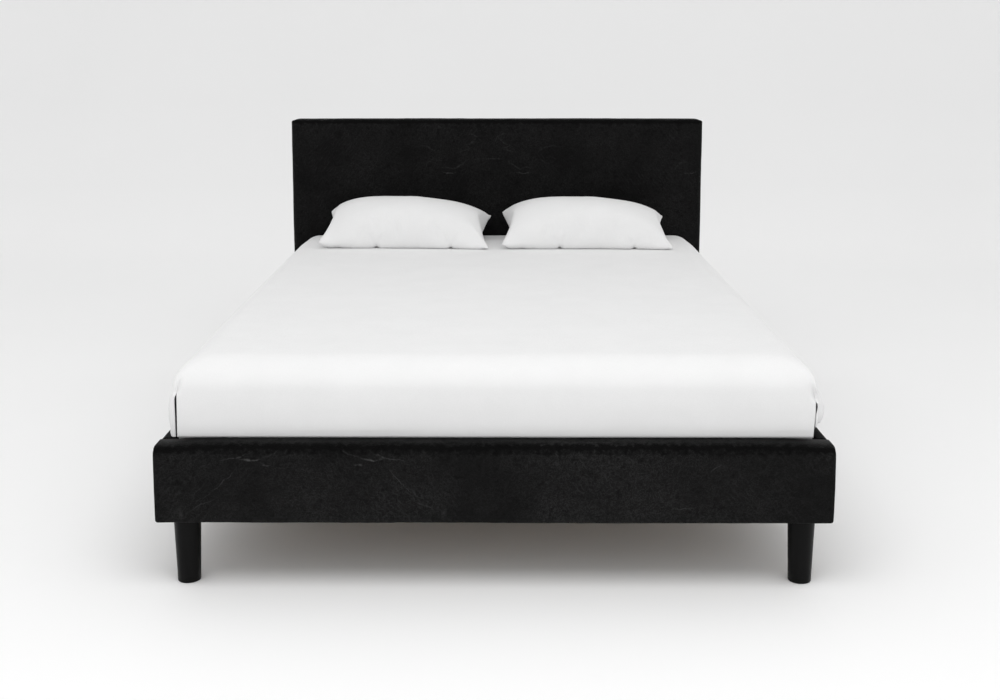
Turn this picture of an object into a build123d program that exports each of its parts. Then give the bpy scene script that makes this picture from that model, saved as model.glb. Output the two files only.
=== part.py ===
from build123d import *
import os

# Queen platform bed with a padded headboard and rails, its slats, mattress, coverlet and two pillows.
# Millimetres, +Z up, the foot at -Y, and the origin on the floor under the middle of the bed.

# Driving dimensions: bedding
MATTRESS_WIDTH = 1530
MATTRESS_LENGTH = 2030
MATTRESS_HEIGHT = 250
COVERLET_THICKNESS = 4
COVERLET_TOP_RADIUS = 75
COVERLET_TUCK_DEPTH = 54
SIDE_FLAP_BULGE = 35
FOOT_FLAP_BULGE = 16
BULGE_HEIGHT = 46
BULGE_RUN = 75
CORNER_SLIT_WIDTH = 5
CORNER_SLIT_DEPTH = 84
PILLOW_WIDTH = 624
PILLOW_DEPTH = 340
PILLOW_CROWN = 112
PILLOW_BELLY = 70
PILLOW_SEAM_EDGE = 5
PILLOW_DRAWN_IN = 16
PILLOW_TILT = 13.5
PILLOW_SPACING = 676
PILLOW_SHIFT = -3
PILLOW_HEADBOARD_GAP = 43
PILLOW_SEAM_RISE = 3

# Driving dimensions: frame
MATTRESS_RECESS = 64
LEG_HEIGHT = 166
RAIL_HEIGHT = 188
HEADBOARD_HEIGHT = 1000
LEATHER = 2
SIDE_FOAM = 10
SIDE_BOARD = 20
FOOT_FOAM = 26
FOOT_BOARD = 40
HEADBOARD_FOAM = 30
HEADBOARD_PANEL = 8
HEADBOARD_TIMBER = 47
BACK_CLOTH = 1
HEADBOARD_MEMBER = 60
HEADBOARD_BOTTOM_LAP = 28
HEADBOARD_CORNER_RADIUS = 25
HEADBOARD_FRONT_RADIUS = 20
RAIL_FRONT_RADIUS = 24
RAIL_OUTER_TOP_RADIUS = 16
RAIL_INNER_TOP_RADIUS = 10
RAIL_BASE_CHAMFER = 3
RAIL_END_RADIUS = 14
LEATHER_TURN_IN = 10
BACK_TURN_IN = 30
BACK_CLOTH_MARGIN = 14

# Driving dimensions: slats and centre support
SLAT_COUNT = 13
SLAT_WIDTH = 90
SLAT_THICKNESS = 18
SLAT_EDGE_CHAMFER = 3
SLAT_END_GAP = 4
SLAT_FIRST_GAP = 30
LEDGE_WIDTH = 25
LEDGE_HEIGHT = 40
WEBBING_WIDTH = 30
WEBBING_THICKNESS = 1.5
WEBBING_SPACING = 760
BEAM_WIDTH = 45
BEAM_HEIGHT = 70
HANGER_THICKNESS = 3
HANGER_DEPTH = 45
HANGER_PLATE_WIDTH = 100
HANGER_HEIGHT = 64
CENTRE_LEG_SPACING = 840
CENTRE_LEG_WIDTH = 45
FOOT_PAD_DIAMETER = 45
FOOT_PAD_HEIGHT = 8
FOOT_STEM_DIAMETER = 10
FOOT_STEM_GRIP = 25
FOOT_TRAVEL = 12

# Driving dimensions: legs and fasteners
LEG_TOP_DIAMETER = 65.5
LEG_FOOT_DIAMETER = 55
LEG_SIDE_INSET = 62
LEG_FRONT_INSET = 62
LEG_REAR_INSET = 70
LEG_PLATE_THICKNESS = 3
LEG_PLATE_X = 76
LEG_PLATE_Y = 84
GLIDE_DIAMETER = 44
GLIDE_THICKNESS = 3
BLOCK_SIZE = 78
BLOCK_CHAMFER = 20
BOLT_DIAMETER = 8
BOLT_HEAD_DIAMETER = 14
BOLT_HEAD = 5
BOLT_OFFSET = 34
BOLT_EDGE = 12
NUT_DIAMETER = 14
NUT_LENGTH = 15
HANGER_BOLT_LEG_GRIP = 35

# Clearances
FIT = 0.2
REST_GAP = 0.3
BOLT_FIT = 0.3
TUCK_FIT = 1.5
COVER_FIT = 0.5

# Frame sizes that follow
MATTRESS_GAP = COVERLET_THICKNESS + COVER_FIT + TUCK_FIT
SIDE_RAIL = 2 * LEATHER + SIDE_FOAM + SIDE_BOARD
FOOT_RAIL = 2 * LEATHER + FOOT_FOAM + FOOT_BOARD
HEADBOARD = 2 * LEATHER + HEADBOARD_FOAM + HEADBOARD_PANEL + HEADBOARD_TIMBER + BACK_CLOTH
FRAME_WIDTH = MATTRESS_WIDTH + 2 * (MATTRESS_GAP + SIDE_RAIL)
FRAME_LENGTH = HEADBOARD + MATTRESS_LENGTH + 2 * MATTRESS_GAP + FOOT_RAIL
SIDE_X = FRAME_WIDTH / 2
INNER_X = SIDE_X - SIDE_RAIL
FOOT_Y = -FRAME_LENGTH / 2
FOOT_BACK_Y = FOOT_Y + FOOT_RAIL
HEAD_Y = FRAME_LENGTH / 2
HEAD_FRONT_Y = HEAD_Y - HEADBOARD
MIDDLE_Y = (FOOT_BACK_Y + HEAD_FRONT_Y) / 2
RAIL_TOP = LEG_HEIGHT + RAIL_HEIGHT

# Heights and places that follow
SLAT_TOP = RAIL_TOP - MATTRESS_RECESS
SLAT_BASE = SLAT_TOP - SLAT_THICKNESS
LEDGE_BASE = SLAT_BASE - LEDGE_HEIGHT
BEAM_BASE = SLAT_BASE - BEAM_HEIGHT
LEG_TOP = LEG_HEIGHT - LEG_PLATE_THICKNESS
MATTRESS_BASE = SLAT_TOP + REST_GAP
MATTRESS_TOP = MATTRESS_BASE + MATTRESS_HEIGHT
COVER_TOP = MATTRESS_TOP + COVER_FIT + COVERLET_THICKNESS
COVER_HEM = RAIL_TOP - COVERLET_TUCK_DEPTH
SIDE_TUCK = INNER_X - TUCK_FIT
FOOT_TUCK = -FOOT_BACK_Y - TUCK_FIT
HEAD_TUCK = HEAD_FRONT_Y - TUCK_FIT
HEADBOARD_CORE_TOP = LEDGE_BASE + HEADBOARD_BOTTOM_LAP
SIDES = {"left": -1, "right": 1}
ENDS = {"front": 1, "rear": -1}


def block(low, high):
    """A box between two opposite corners."""
    size = [b - a for a, b in zip(low, high)]
    middle = [(a + b) / 2 for a, b in zip(low, high)]
    return Pos(*middle) * Box(*size)


def turned(points):
    """A solid of revolution about Z from radius and height pairs."""
    return revolve(Plane.XZ * make_face(Polyline(*points, close=True)), Axis.Z)


def placed(solid, origin, direction):
    """A solid drawn along +Z, moved to a point and pointed along a direction."""
    return Plane(origin=origin, z_dir=direction) * solid


def hexagon(diameter, low, high):
    """A hexagonal bar along Z, measured across its corners."""
    return extrude(Pos(0, 0, low) * RegularPolygon(diameter / 2, 6), high - low)


def rod(diameter, low, high):
    return Pos(0, 0, (low + high) / 2) * Cylinder(diameter / 2, high - low)


# Corner joint: blocks, bolts and their nuts
BOLT_LENGTH = BLOCK_SIZE + LEATHER + NUT_LENGTH
NUT_START = BLOCK_SIZE + LEATHER + FIT


def corner_bolt_seats(side, end):
    """Origin and direction of each bolt of one corner block, from the block's inner faces outwards."""
    across = SIDES[side]
    along = ENDS[end]
    wall_y = FOOT_BACK_Y if end == "front" else HEAD_FRONT_Y
    side_x = across * (INNER_X - BLOCK_SIZE)
    end_x = across * (INNER_X - BOLT_OFFSET)
    side_point = (side_x, wall_y + along * BOLT_OFFSET, LEG_HEIGHT + BOLT_EDGE)
    end_point = (end_x, wall_y + along * BLOCK_SIZE, LEDGE_BASE - BOLT_EDGE)
    return {"side": (side_point, (across, 0, 0)), "end": (end_point, (0, -along, 0))}


def corner_drill(side, end, rail):
    """The hole in a side rail or an end piece for one corner's bolt and its nut."""
    hole = rod(NUT_DIAMETER + 2 * FIT, BLOCK_SIZE - FIT, BOLT_LENGTH + REST_GAP)
    return placed(hole, *corner_bolt_seats(side, end)[rail])


def corner_block(side, end):
    across = SIDES[side]
    along = ENDS[end]
    wall_y = FOOT_BACK_Y if end == "front" else HEAD_FRONT_Y
    x0 = across * INNER_X
    x1 = across * (INNER_X - BLOCK_SIZE)
    y1 = wall_y + along * BLOCK_SIZE
    outline = Polyline(
        (x0, wall_y),
        (x1, wall_y),
        (x1, y1 - along * BLOCK_CHAMFER),
        (x1 + across * BLOCK_CHAMFER, y1),
        (x0, y1),
        close=True,
    )
    prism = extrude(Pos(0, 0, LEG_HEIGHT) * make_face(outline), LEDGE_BASE - LEG_HEIGHT, dir=(0, 0, 1))
    shank = rod(BOLT_DIAMETER + 2 * BOLT_FIT, -BOLT_HEAD, BOLT_LENGTH)
    for seat in corner_bolt_seats(side, end).values():
        prism -= placed(shank, *seat)
    return prism


def all_bolt_seats():
    return [seat for side in SIDES for end in ENDS for seat in corner_bolt_seats(side, end).values()]


def corner_bolts():
    bolt = hexagon(BOLT_HEAD_DIAMETER, -BOLT_HEAD, 0) + rod(BOLT_DIAMETER, 0, BOLT_LENGTH)
    return [placed(bolt, *seat) for seat in all_bolt_seats()]


def corner_nuts():
    nut = hexagon(NUT_DIAMETER, NUT_START, BOLT_LENGTH) - rod(BOLT_DIAMETER + FIT, NUT_START, BOLT_LENGTH)
    return [placed(nut, *seat) for seat in all_bolt_seats()]


# Legs
def leg_axis(side, end):
    x = SIDES[side] * (SIDE_X - LEG_SIDE_INSET)
    y = FOOT_Y + LEG_FRONT_INSET if end == "front" else HEAD_Y - LEG_REAR_INSET
    return x, y


def leg(side, end):
    foot = LEG_FOOT_DIAMETER / 2
    top = LEG_TOP_DIAMETER / 2
    body = turned([(0, GLIDE_THICKNESS), (foot, GLIDE_THICKNESS), (top, LEG_TOP), (0, LEG_TOP)])
    body -= rod(BOLT_DIAMETER + FIT, LEG_TOP - HANGER_BOLT_LEG_GRIP - REST_GAP, LEG_TOP)
    return Pos(*leg_axis(side, end)) * body


def leg_glide(side, end):
    return Pos(*leg_axis(side, end)) * rod(GLIDE_DIAMETER, 0, GLIDE_THICKNESS)


def leg_plate(side, end):
    x, y = leg_axis(side, end)
    plate = Pos(x, y, (LEG_TOP + LEG_HEIGHT) / 2) * Box(LEG_PLATE_X, LEG_PLATE_Y, LEG_PLATE_THICKNESS)
    return plate - Pos(x, y, 0) * rod(BOLT_DIAMETER + FIT, LEG_TOP, LEG_HEIGHT)


def leg_hanger_bolt(side, end):
    shank = rod(BOLT_DIAMETER, LEG_TOP - HANGER_BOLT_LEG_GRIP, LEG_HEIGHT)
    return Pos(*leg_axis(side, end)) * shank


def end_drills(end):
    """The bolt holes that enter the foot rail or the headboard."""
    return [corner_drill(side, end, "end") for side in SIDES]


def drilled(solid, drills):
    for drill in drills:
        solid -= drill
    return solid


# Headboard: timber frame and panel, foam, leather and back cloth
def headboard_form(inset):
    """The headboard's padded outline without its back cloth, drawn in by inset."""
    low = (-SIDE_X + inset, HEAD_FRONT_Y + inset, LEG_HEIGHT + inset)
    high = (SIDE_X - inset, HEAD_Y - BACK_CLOTH - inset, HEADBOARD_HEIGHT - inset)
    form = block(low, high)
    form = fillet(form.edges().filter_by(Axis.Y), HEADBOARD_CORNER_RADIUS - inset)
    return fillet(form.edges().group_by(Axis.Y)[0], HEADBOARD_FRONT_RADIUS - inset)


def headboard_parts():
    core = headboard_form(LEATHER + FIT)
    drills = end_drills("rear")
    wide = SIDE_X
    tall = HEADBOARD_HEIGHT
    foam_back = HEAD_FRONT_Y + LEATHER + HEADBOARD_FOAM
    panel_back = foam_back + HEADBOARD_PANEL
    top_rail_base = HEADBOARD_HEIGHT - LEATHER - HEADBOARD_MEMBER
    stile = HEADBOARD_MEMBER
    left_stile = -SIDE_X + LEATHER + stile

    def member(x0, x1, y0, y1, z0, z1):
        return core & block((x0, y0, z0), (x1, y1, z1))

    shell = headboard_form(0) - headboard_form(LEATHER)
    flange_front = HEAD_Y - BACK_CLOTH - 2 * LEATHER
    opening_low = (-wide + BACK_TURN_IN, flange_front, LEG_HEIGHT + BACK_TURN_IN)
    opening_high = (wide - BACK_TURN_IN, HEAD_Y, tall - BACK_TURN_IN)
    cloth_low = (-wide + BACK_CLOTH_MARGIN, HEAD_Y - BACK_CLOTH, LEG_HEIGHT + BACK_CLOTH_MARGIN)
    cloth_high = (wide - BACK_CLOTH_MARGIN, HEAD_Y, tall - BACK_CLOTH_MARGIN)
    return {
        "headboard_bottom_rail": drilled(
            member(-wide, wide, HEAD_FRONT_Y, HEAD_Y, 0, HEADBOARD_CORE_TOP), drills
        ),
        "headboard_top_rail": member(-wide, wide, panel_back, HEAD_Y, top_rail_base, tall),
        "headboard_stile_left": member(
            -wide, left_stile, panel_back, HEAD_Y, HEADBOARD_CORE_TOP, top_rail_base
        ),
        "headboard_stile_middle": member(
            -stile / 2, stile / 2, panel_back, HEAD_Y, HEADBOARD_CORE_TOP, top_rail_base
        ),
        "headboard_stile_right": member(
            -left_stile, wide, panel_back, HEAD_Y, HEADBOARD_CORE_TOP, top_rail_base
        ),
        "headboard_face_panel": member(-wide, wide, foam_back, panel_back, HEADBOARD_CORE_TOP, tall),
        "headboard_foam": member(-wide, wide, HEAD_FRONT_Y, foam_back, HEADBOARD_CORE_TOP, tall),
        "headboard_cover": drilled(shell - block(opening_low, opening_high), drills),
        "headboard_back_cloth": block(cloth_low, cloth_high),
    }


# Foot rail and side rails: board, foam and a leather cover turned under at the base
def foot_rail_form(inset):
    """The foot rail's padded outline, drawn in by inset, with its base edge eased on the outside only."""
    low = (-SIDE_X + inset, FOOT_Y + inset, LEG_HEIGHT + inset)
    high = (SIDE_X - inset, FOOT_BACK_Y - inset, RAIL_TOP - inset)
    form = block(low, high)
    top = form.edges().group_by(Axis.Z)[-1]
    form = fillet(top.group_by(Axis.Y)[0] + top.filter_by(Axis.Y), RAIL_FRONT_RADIUS - inset)
    form = fillet(form.edges().filter_by(Axis.Z).group_by(Axis.Y)[0], RAIL_END_RADIUS - inset)
    back_top = form.edges().group_by(Axis.Y)[-1].group_by(Axis.Z)[-1]
    form = fillet(back_top, RAIL_INNER_TOP_RADIUS - inset)
    if inset:
        return form
    return chamfer(form.edges().group_by(Axis.Z)[0], RAIL_BASE_CHAMFER)


def foot_rail_parts():
    core = foot_rail_form(LEATHER + FIT)
    drills = end_drills("front")
    foam_back = FOOT_Y + LEATHER + FOOT_FOAM
    shell = foot_rail_form(0) - foot_rail_form(LEATHER)
    slot_low = (-SIDE_X + FOOT_RAIL, FOOT_Y + LEATHER + LEATHER_TURN_IN, 0)
    slot_high = (SIDE_X - FOOT_RAIL, FOOT_BACK_Y - LEATHER - LEATHER_TURN_IN, LEG_HEIGHT + LEATHER)
    front = block((-SIDE_X, FOOT_Y, 0), (SIDE_X, foam_back, RAIL_TOP))
    back = block((-SIDE_X, foam_back, 0), (SIDE_X, FOOT_BACK_Y, RAIL_TOP))
    return {
        "foot_rail_board": drilled(core & back, drills),
        "foot_rail_foam": core & front,
        "foot_rail_cover": drilled(shell - block(slot_low, slot_high), drills),
    }


def side_rail_form(inset, overrun=0):
    """The right-hand side rail's padded outline, drawn in by inset, its base eased on the outside only."""
    low = (INNER_X + inset, FOOT_BACK_Y - overrun, LEG_HEIGHT + inset)
    high = (SIDE_X - inset, HEAD_FRONT_Y + overrun, RAIL_TOP - inset)
    form = block(low, high)
    outer_top = form.edges().filter_by(Axis.Y).group_by(Axis.Z)[-1].sort_by(Axis.X)[-1]
    form = fillet(outer_top, RAIL_OUTER_TOP_RADIUS - inset)
    inner_top = form.edges().filter_by(Axis.Y).group_by(Axis.Z)[-1].sort_by(Axis.X)[0]
    form = fillet(inner_top, RAIL_INNER_TOP_RADIUS - inset)
    if inset:
        return form
    return chamfer(form.edges().filter_by(Axis.Y).group_by(Axis.Z)[0], RAIL_BASE_CHAMFER)


def side_rail_parts():
    core = side_rail_form(LEATHER + FIT)
    board_outer = INNER_X + LEATHER + SIDE_BOARD
    shell = side_rail_form(0) - side_rail_form(LEATHER, overrun=LEATHER)
    slot_low = (INNER_X + LEATHER_TURN_IN, FOOT_BACK_Y + BLOCK_SIZE, 0)
    slot_high = (SIDE_X - LEATHER_TURN_IN, HEAD_FRONT_Y - BLOCK_SIZE, LEG_HEIGHT + LEATHER)
    inner = block((0, FOOT_BACK_Y, 0), (board_outer, HEAD_FRONT_Y, RAIL_TOP))
    outer = block((board_outer, FOOT_BACK_Y, 0), (SIDE_X, HEAD_FRONT_Y, RAIL_TOP))
    drills = [corner_drill("right", end, "side") for end in ENDS]
    right = {
        "side_rail_board": drilled(core & inner, drills),
        "side_rail_foam": core & outer,
        "side_rail_cover": drilled(shell - block(slot_low, slot_high), drills),
        "slat_ledge": slat_ledge(),
    }
    parts = {}
    for name, solid in right.items():
        parts[name + "_right"] = solid
        parts[name + "_left"] = mirror(solid, Plane.YZ)
    return parts


def slat_ledge():
    return block((INNER_X - LEDGE_WIDTH, FOOT_BACK_Y, LEDGE_BASE), (INNER_X, HEAD_FRONT_Y, SLAT_BASE))


# Slats and their webbing
def slat_places():
    first = FOOT_BACK_Y + SLAT_FIRST_GAP + SLAT_WIDTH / 2
    last = HEAD_FRONT_Y - SLAT_FIRST_GAP - SLAT_WIDTH / 2
    pitch = (last - first) / (SLAT_COUNT - 1)
    return [first + i * pitch for i in range(SLAT_COUNT)]


def slat(y):
    profile = chamfer(Rectangle(SLAT_WIDTH, SLAT_THICKNESS).vertices(), SLAT_EDGE_CHAMFER)
    bar = extrude(Plane.YZ * profile, INNER_X - SLAT_END_GAP, both=True)
    return Pos(0, y, (SLAT_BASE + SLAT_TOP) / 2) * bar


def slat_webbing():
    places = slat_places()
    straps = []
    for across in SIDES.values():
        x = across * WEBBING_SPACING / 2
        low = (x - WEBBING_WIDTH / 2, places[0] - SLAT_WIDTH / 2, SLAT_BASE - WEBBING_THICKNESS)
        high = (x + WEBBING_WIDTH / 2, places[-1] + SLAT_WIDTH / 2, SLAT_BASE)
        straps.append(block(low, high))
    return straps


# Centre support: beam, hangers, legs and levelling feet
def centre_leg_places():
    return {"front": MIDDLE_Y - CENTRE_LEG_SPACING / 2, "rear": MIDDLE_Y + CENTRE_LEG_SPACING / 2}


def centre_beam():
    low = (-BEAM_WIDTH / 2, FOOT_BACK_Y + HANGER_THICKNESS + FIT, BEAM_BASE)
    high = (BEAM_WIDTH / 2, HEAD_FRONT_Y - HANGER_THICKNESS - FIT, SLAT_BASE)
    return block(low, high)


def beam_hanger(end):
    """A steel seat with two cheeks and a back plate, on the rail at one end of the beam."""
    along = ENDS[end]
    wall = FOOT_BACK_Y if end == "front" else HEAD_FRONT_Y
    base = BEAM_BASE - HANGER_THICKNESS
    cheek = BEAM_WIDTH / 2 + FIT
    outer = cheek + HANGER_THICKNESS
    inside = wall + along * HANGER_THICKNESS
    tip = wall + along * HANGER_DEPTH
    y0, y1 = sorted((wall, inside))
    t0, t1 = sorted((wall, tip))
    back = block((-HANGER_PLATE_WIDTH / 2, y0, base), (HANGER_PLATE_WIDTH / 2, y1, base + HANGER_HEIGHT))
    trough = block((-outer, t0, base), (outer, t1, base + HANGER_HEIGHT))
    hollow = block((-cheek, t0, BEAM_BASE), (cheek, t1, base + HANGER_HEIGHT))
    return (trough - hollow) + back


def centre_leg(end):
    half = CENTRE_LEG_WIDTH / 2
    base = FOOT_PAD_HEIGHT + FOOT_TRAVEL + REST_GAP
    post = block((-half, -half, base), (half, half, BEAM_BASE))
    post -= rod(FOOT_STEM_DIAMETER + 2 * BOLT_FIT, base, base + FOOT_STEM_GRIP + FOOT_TRAVEL + REST_GAP)
    return Pos(0, centre_leg_places()[end], 0) * post


def levelling_foot(end):
    stem_top = FOOT_PAD_HEIGHT + FOOT_TRAVEL + FOOT_STEM_GRIP
    foot = rod(FOOT_PAD_DIAMETER, 0, FOOT_PAD_HEIGHT) + rod(FOOT_STEM_DIAMETER, 0, stem_top)
    return Pos(0, centre_leg_places()[end], 0) * foot


# Mattress, coverlet and pillows
def mattress():
    foot = FOOT_BACK_Y + MATTRESS_GAP
    form = block(
        (-MATTRESS_WIDTH / 2, foot, MATTRESS_BASE), (MATTRESS_WIDTH / 2, foot + MATTRESS_LENGTH, MATTRESS_TOP)
    )
    top_radius = COVERLET_TOP_RADIUS - COVERLET_THICKNESS - COVER_FIT
    form = fillet(form.edges().filter_by(Axis.Z), COVERLET_TOP_RADIUS)
    return fillet(form.edges().group_by(Axis.Z)[-1], top_radius)


def flap(sign, tuck, bulge, inset):
    """Edges of one hanging side of the coverlet's section, from its flat top down to its tucked hem."""
    wall = tuck - inset
    start = (sign * (tuck - COVERLET_TOP_RADIUS), COVER_TOP - inset)
    shoulder = (sign * (wall + bulge / 4), COVER_TOP - COVERLET_TOP_RADIUS)
    hem = (sign * wall, COVER_HEM)
    edges = [TangentArc(start, shoulder, tangent=(sign, 0))]
    if not bulge:
        return edges + [Line(shoulder, hem)]
    turn = RAIL_INNER_TOP_RADIUS + TUCK_FIT
    turn_low = RAIL_TOP - RAIL_INNER_TOP_RADIUS
    shelf = turn_low + turn + inset
    widest = (sign * (wall + bulge), RAIL_TOP + BULGE_HEIGHT)
    under = (sign * (tuck + (turn + bulge) / 2), shelf)
    lip = (sign * (tuck + turn), shelf)
    neck = (sign * wall, turn_low)
    edges.append(ThreePointArc(shoulder, widest, under))
    edges.append(Line(under, lip))
    edges.append(TangentArc(lip, neck, tangent=(-sign, 0)))
    edges.append(Line(neck, hem))
    return edges


def coverlet_section(plane, low_flap, high_flap, inset):
    """The coverlet's filled section between two flaps, each a tuck and a bulge, extruded both ways."""
    low = flap(-1, *low_flap, inset)
    high = flap(1, *high_flap, inset)
    top = Line(low[0] @ 0, high[0] @ 0)
    hem = Line(low[-1] @ 1, high[-1] @ 1)
    return extrude(plane * make_face([top, hem] + low + high), FRAME_LENGTH, both=True)


def coverlet_plan(inset):
    """The coverlet seen from above: straight sides that draw in to the corners."""
    corner_x = SIDE_TUCK + TUCK_FIT - inset
    side_x = SIDE_TUCK + SIDE_FLAP_BULGE - inset
    foot_y = -FOOT_TUCK - FOOT_FLAP_BULGE + inset
    foot_corner_y = -FOOT_TUCK - TUCK_FIT + inset
    head_y = HEAD_TUCK - inset
    run_foot_y = foot_corner_y + BULGE_RUN
    run_head_y = head_y - BULGE_RUN
    edges = []
    for sign in (-1, 1):
        foot_corner = (sign * corner_x, foot_corner_y)
        head_corner = (sign * corner_x, head_y)
        foot_swell = (sign * side_x, run_foot_y)
        head_swell = (sign * side_x, run_head_y)
        foot_run = (sign * (corner_x - BULGE_RUN), foot_y)
        edges.append(TangentArc(foot_run, foot_corner, tangent=(sign, 0)))
        edges.append(TangentArc(foot_swell, foot_corner, tangent=(0, -1)))
        edges.append(Line(foot_swell, head_swell))
        edges.append(TangentArc(head_swell, head_corner, tangent=(0, 1)))
    edges.append(Line((-corner_x, head_y), (corner_x, head_y)))
    edges.append(Line((BULGE_RUN - corner_x, foot_y), (corner_x - BULGE_RUN, foot_y)))
    return extrude(make_face(edges), HEADBOARD_HEIGHT)


def coverlet_form(inset):
    across = coverlet_section(Plane.XZ, (SIDE_TUCK, SIDE_FLAP_BULGE), (SIDE_TUCK, SIDE_FLAP_BULGE), inset)
    along = coverlet_section(Plane.YZ, (FOOT_TUCK, FOOT_FLAP_BULGE), (HEAD_TUCK, 0), inset)
    return across & along & coverlet_plan(inset)


def coverlet():
    """A thin bedspread: four flaps that swell over the rails and tuck in, open at the foot's corners."""
    cloth = coverlet_form(0) - coverlet_form(COVERLET_THICKNESS)
    slit_top = COVER_TOP - CORNER_SLIT_DEPTH
    for across in SIDES.values():
        x0, x1 = sorted((across * SIDE_TUCK, across * (SIDE_TUCK + CORNER_SLIT_WIDTH)))
        foot = -FOOT_TUCK
        cloth -= block((x0, foot - FOOT_FLAP_BULGE, COVER_HEM), (x1, foot + BULGE_RUN / 2, slit_top))
        n0, n1 = sorted((across * (SIDE_TUCK - FOOT_FLAP_BULGE), across * (SIDE_TUCK + CORNER_SLIT_WIDTH)))
        cloth -= block((n0, foot - FOOT_FLAP_BULGE, COVER_HEM), (n1, foot + FOOT_FLAP_BULGE, RAIL_TOP))
    return cloth


PILLOW_STATIONS = (-1, -0.85, -0.5, 0, 0.5, 0.85, 1)
PILLOW_FULLNESS = 0.62


def pillow(side):
    """A plump pillow: lens sections from front to back, its sides drawn in, flat where it lies."""
    sections = []
    for share in PILLOW_STATIONS:
        full = (1 - share**2) ** PILLOW_FULLNESS
        half = PILLOW_WIDTH / 2 - PILLOW_DRAWN_IN * (1 - share**2)
        over = ThreePointArc((-half, 0), (0, PILLOW_SEAM_EDGE + PILLOW_CROWN * full), (half, 0))
        under = ThreePointArc((half, 0), (0, -PILLOW_SEAM_EDGE - PILLOW_BELLY * full), (-half, 0))
        sections.append(Plane.XZ.offset(-share * PILLOW_DEPTH / 2) * make_face([over, under]))
    form = Rot(PILLOW_TILT, 0, 0) * loft(sections)
    back = Vector(0, PILLOW_DEPTH / 2, 0).rotate(Axis.X, PILLOW_TILT)
    centre_x = PILLOW_SHIFT + SIDES[side] * PILLOW_SPACING / 2
    centre_y = HEAD_FRONT_Y - PILLOW_HEADBOARD_GAP - back.Y
    form = Pos(centre_x, centre_y, COVER_TOP + PILLOW_SEAM_RISE + back.Z) * form
    reach = PILLOW_WIDTH
    low = (centre_x - reach, centre_y - reach, COVER_TOP + REST_GAP)
    high = (centre_x + reach, centre_y + reach, COVER_TOP + reach)
    return form & block(low, high)


def bed_parts():
    """Every node of the bed by name, each a solid or a list of like solids."""
    parts = {}
    parts.update(headboard_parts())
    parts.update(side_rail_parts())
    parts.update(foot_rail_parts())
    corners = [(side, end) for end in ENDS for side in SIDES]
    for side, end in corners:
        parts[f"corner_block_{end}_{side}"] = corner_block(side, end)
        parts[f"leg_{end}_{side}"] = leg(side, end)
    parts["corner_bolts"] = corner_bolts()
    parts["corner_nuts"] = corner_nuts()
    parts["leg_hanger_bolts"] = [leg_hanger_bolt(*corner) for corner in corners]
    parts["leg_plates"] = [leg_plate(*corner) for corner in corners]
    parts["leg_glides"] = [leg_glide(*corner) for corner in corners]
    for index, y in enumerate(slat_places(), start=1):
        parts[f"slat_{index:02d}"] = slat(y)
    parts["slat_webbing"] = slat_webbing()
    parts["centre_beam"] = centre_beam()
    parts["beam_hanger_foot"] = beam_hanger("front")
    parts["beam_hanger_head"] = beam_hanger("rear")
    for end in ENDS:
        parts[f"centre_leg_{end}"] = centre_leg(end)
        parts[f"levelling_foot_{end}"] = levelling_foot(end)
    parts["mattress"] = mattress()
    parts["coverlet"] = coverlet()
    for side in SIDES:
        parts[f"pillow_{side}"] = pillow(side)
    return parts


os.makedirs("parts", exist_ok=True)
for node, shape in bed_parts().items():
    solids = shape if isinstance(shape, list) else [shape]
    export_step(Compound(children=solids) if len(solids) > 1 else solids[0], f"parts/{node}.step")
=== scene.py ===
import bmesh
import bpy
import math
import numpy as np
from fnmatch import fnmatch
from functools import reduce
from mathutils import Euler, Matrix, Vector, noise


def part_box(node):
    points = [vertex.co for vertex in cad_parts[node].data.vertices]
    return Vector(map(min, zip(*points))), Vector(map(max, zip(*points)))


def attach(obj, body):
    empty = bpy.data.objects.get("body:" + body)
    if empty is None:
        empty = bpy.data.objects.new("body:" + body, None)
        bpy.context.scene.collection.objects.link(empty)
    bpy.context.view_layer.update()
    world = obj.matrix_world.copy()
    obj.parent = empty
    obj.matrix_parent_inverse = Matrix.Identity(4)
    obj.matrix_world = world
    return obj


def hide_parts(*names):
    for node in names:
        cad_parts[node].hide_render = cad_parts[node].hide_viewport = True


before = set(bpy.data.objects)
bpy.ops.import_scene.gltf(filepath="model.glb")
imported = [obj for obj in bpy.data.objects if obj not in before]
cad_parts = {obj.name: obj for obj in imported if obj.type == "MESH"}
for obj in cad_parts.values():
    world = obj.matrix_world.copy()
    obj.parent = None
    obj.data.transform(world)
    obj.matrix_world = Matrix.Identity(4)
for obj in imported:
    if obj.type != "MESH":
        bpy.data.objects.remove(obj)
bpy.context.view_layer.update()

# Sizes in metres, in the frame's own axes: the foot at -Y, +Z up
def node_box(name):
    """A node's low and high corners, to the micrometre."""
    return [[round(float(value), 6) for value in corner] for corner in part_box(name)]


(_, FOOT_Y, LEG_HEIGHT), (SIDE_X, FOOT_BACK_Y, RAIL_TOP) = node_box("foot_rail_cover")
(_, HEAD_FRONT_Y, _), (_, HEAD_BACK_Y, HEADBOARD_HEIGHT) = node_box("headboard_cover")
(_, _, CLOTH_BASE), (CLOTH_X, CLOTH_Y, CLOTH_TOP) = node_box("headboard_back_cloth")
(_, _, COVER_HEM), (COVER_X, _, COVER_TOP) = node_box("coverlet")
(_, MATTRESS_FOOT, MATTRESS_BASE), (MATTRESS_X, MATTRESS_HEAD, MATTRESS_TOP) = node_box("mattress")
INNER_X = node_box("side_rail_cover_right")[0][0]
QUARTER = 0.5 * math.pi
SLATS = "slat_[0-9][0-9]"

# Camera fitted to the photograph's foot rail, headboard and legs
CAMERA_PLACE = (0.0156, -4.0224, 1.2919)
CAMERA_YAW = math.radians(-0.205)
CAMERA_PITCH = math.radians(8.225)
CAMERA_FOCAL = 1.2866
CAMERA_SHIFT = (0.0038, -0.12)
SENSOR = 36.0


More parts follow.
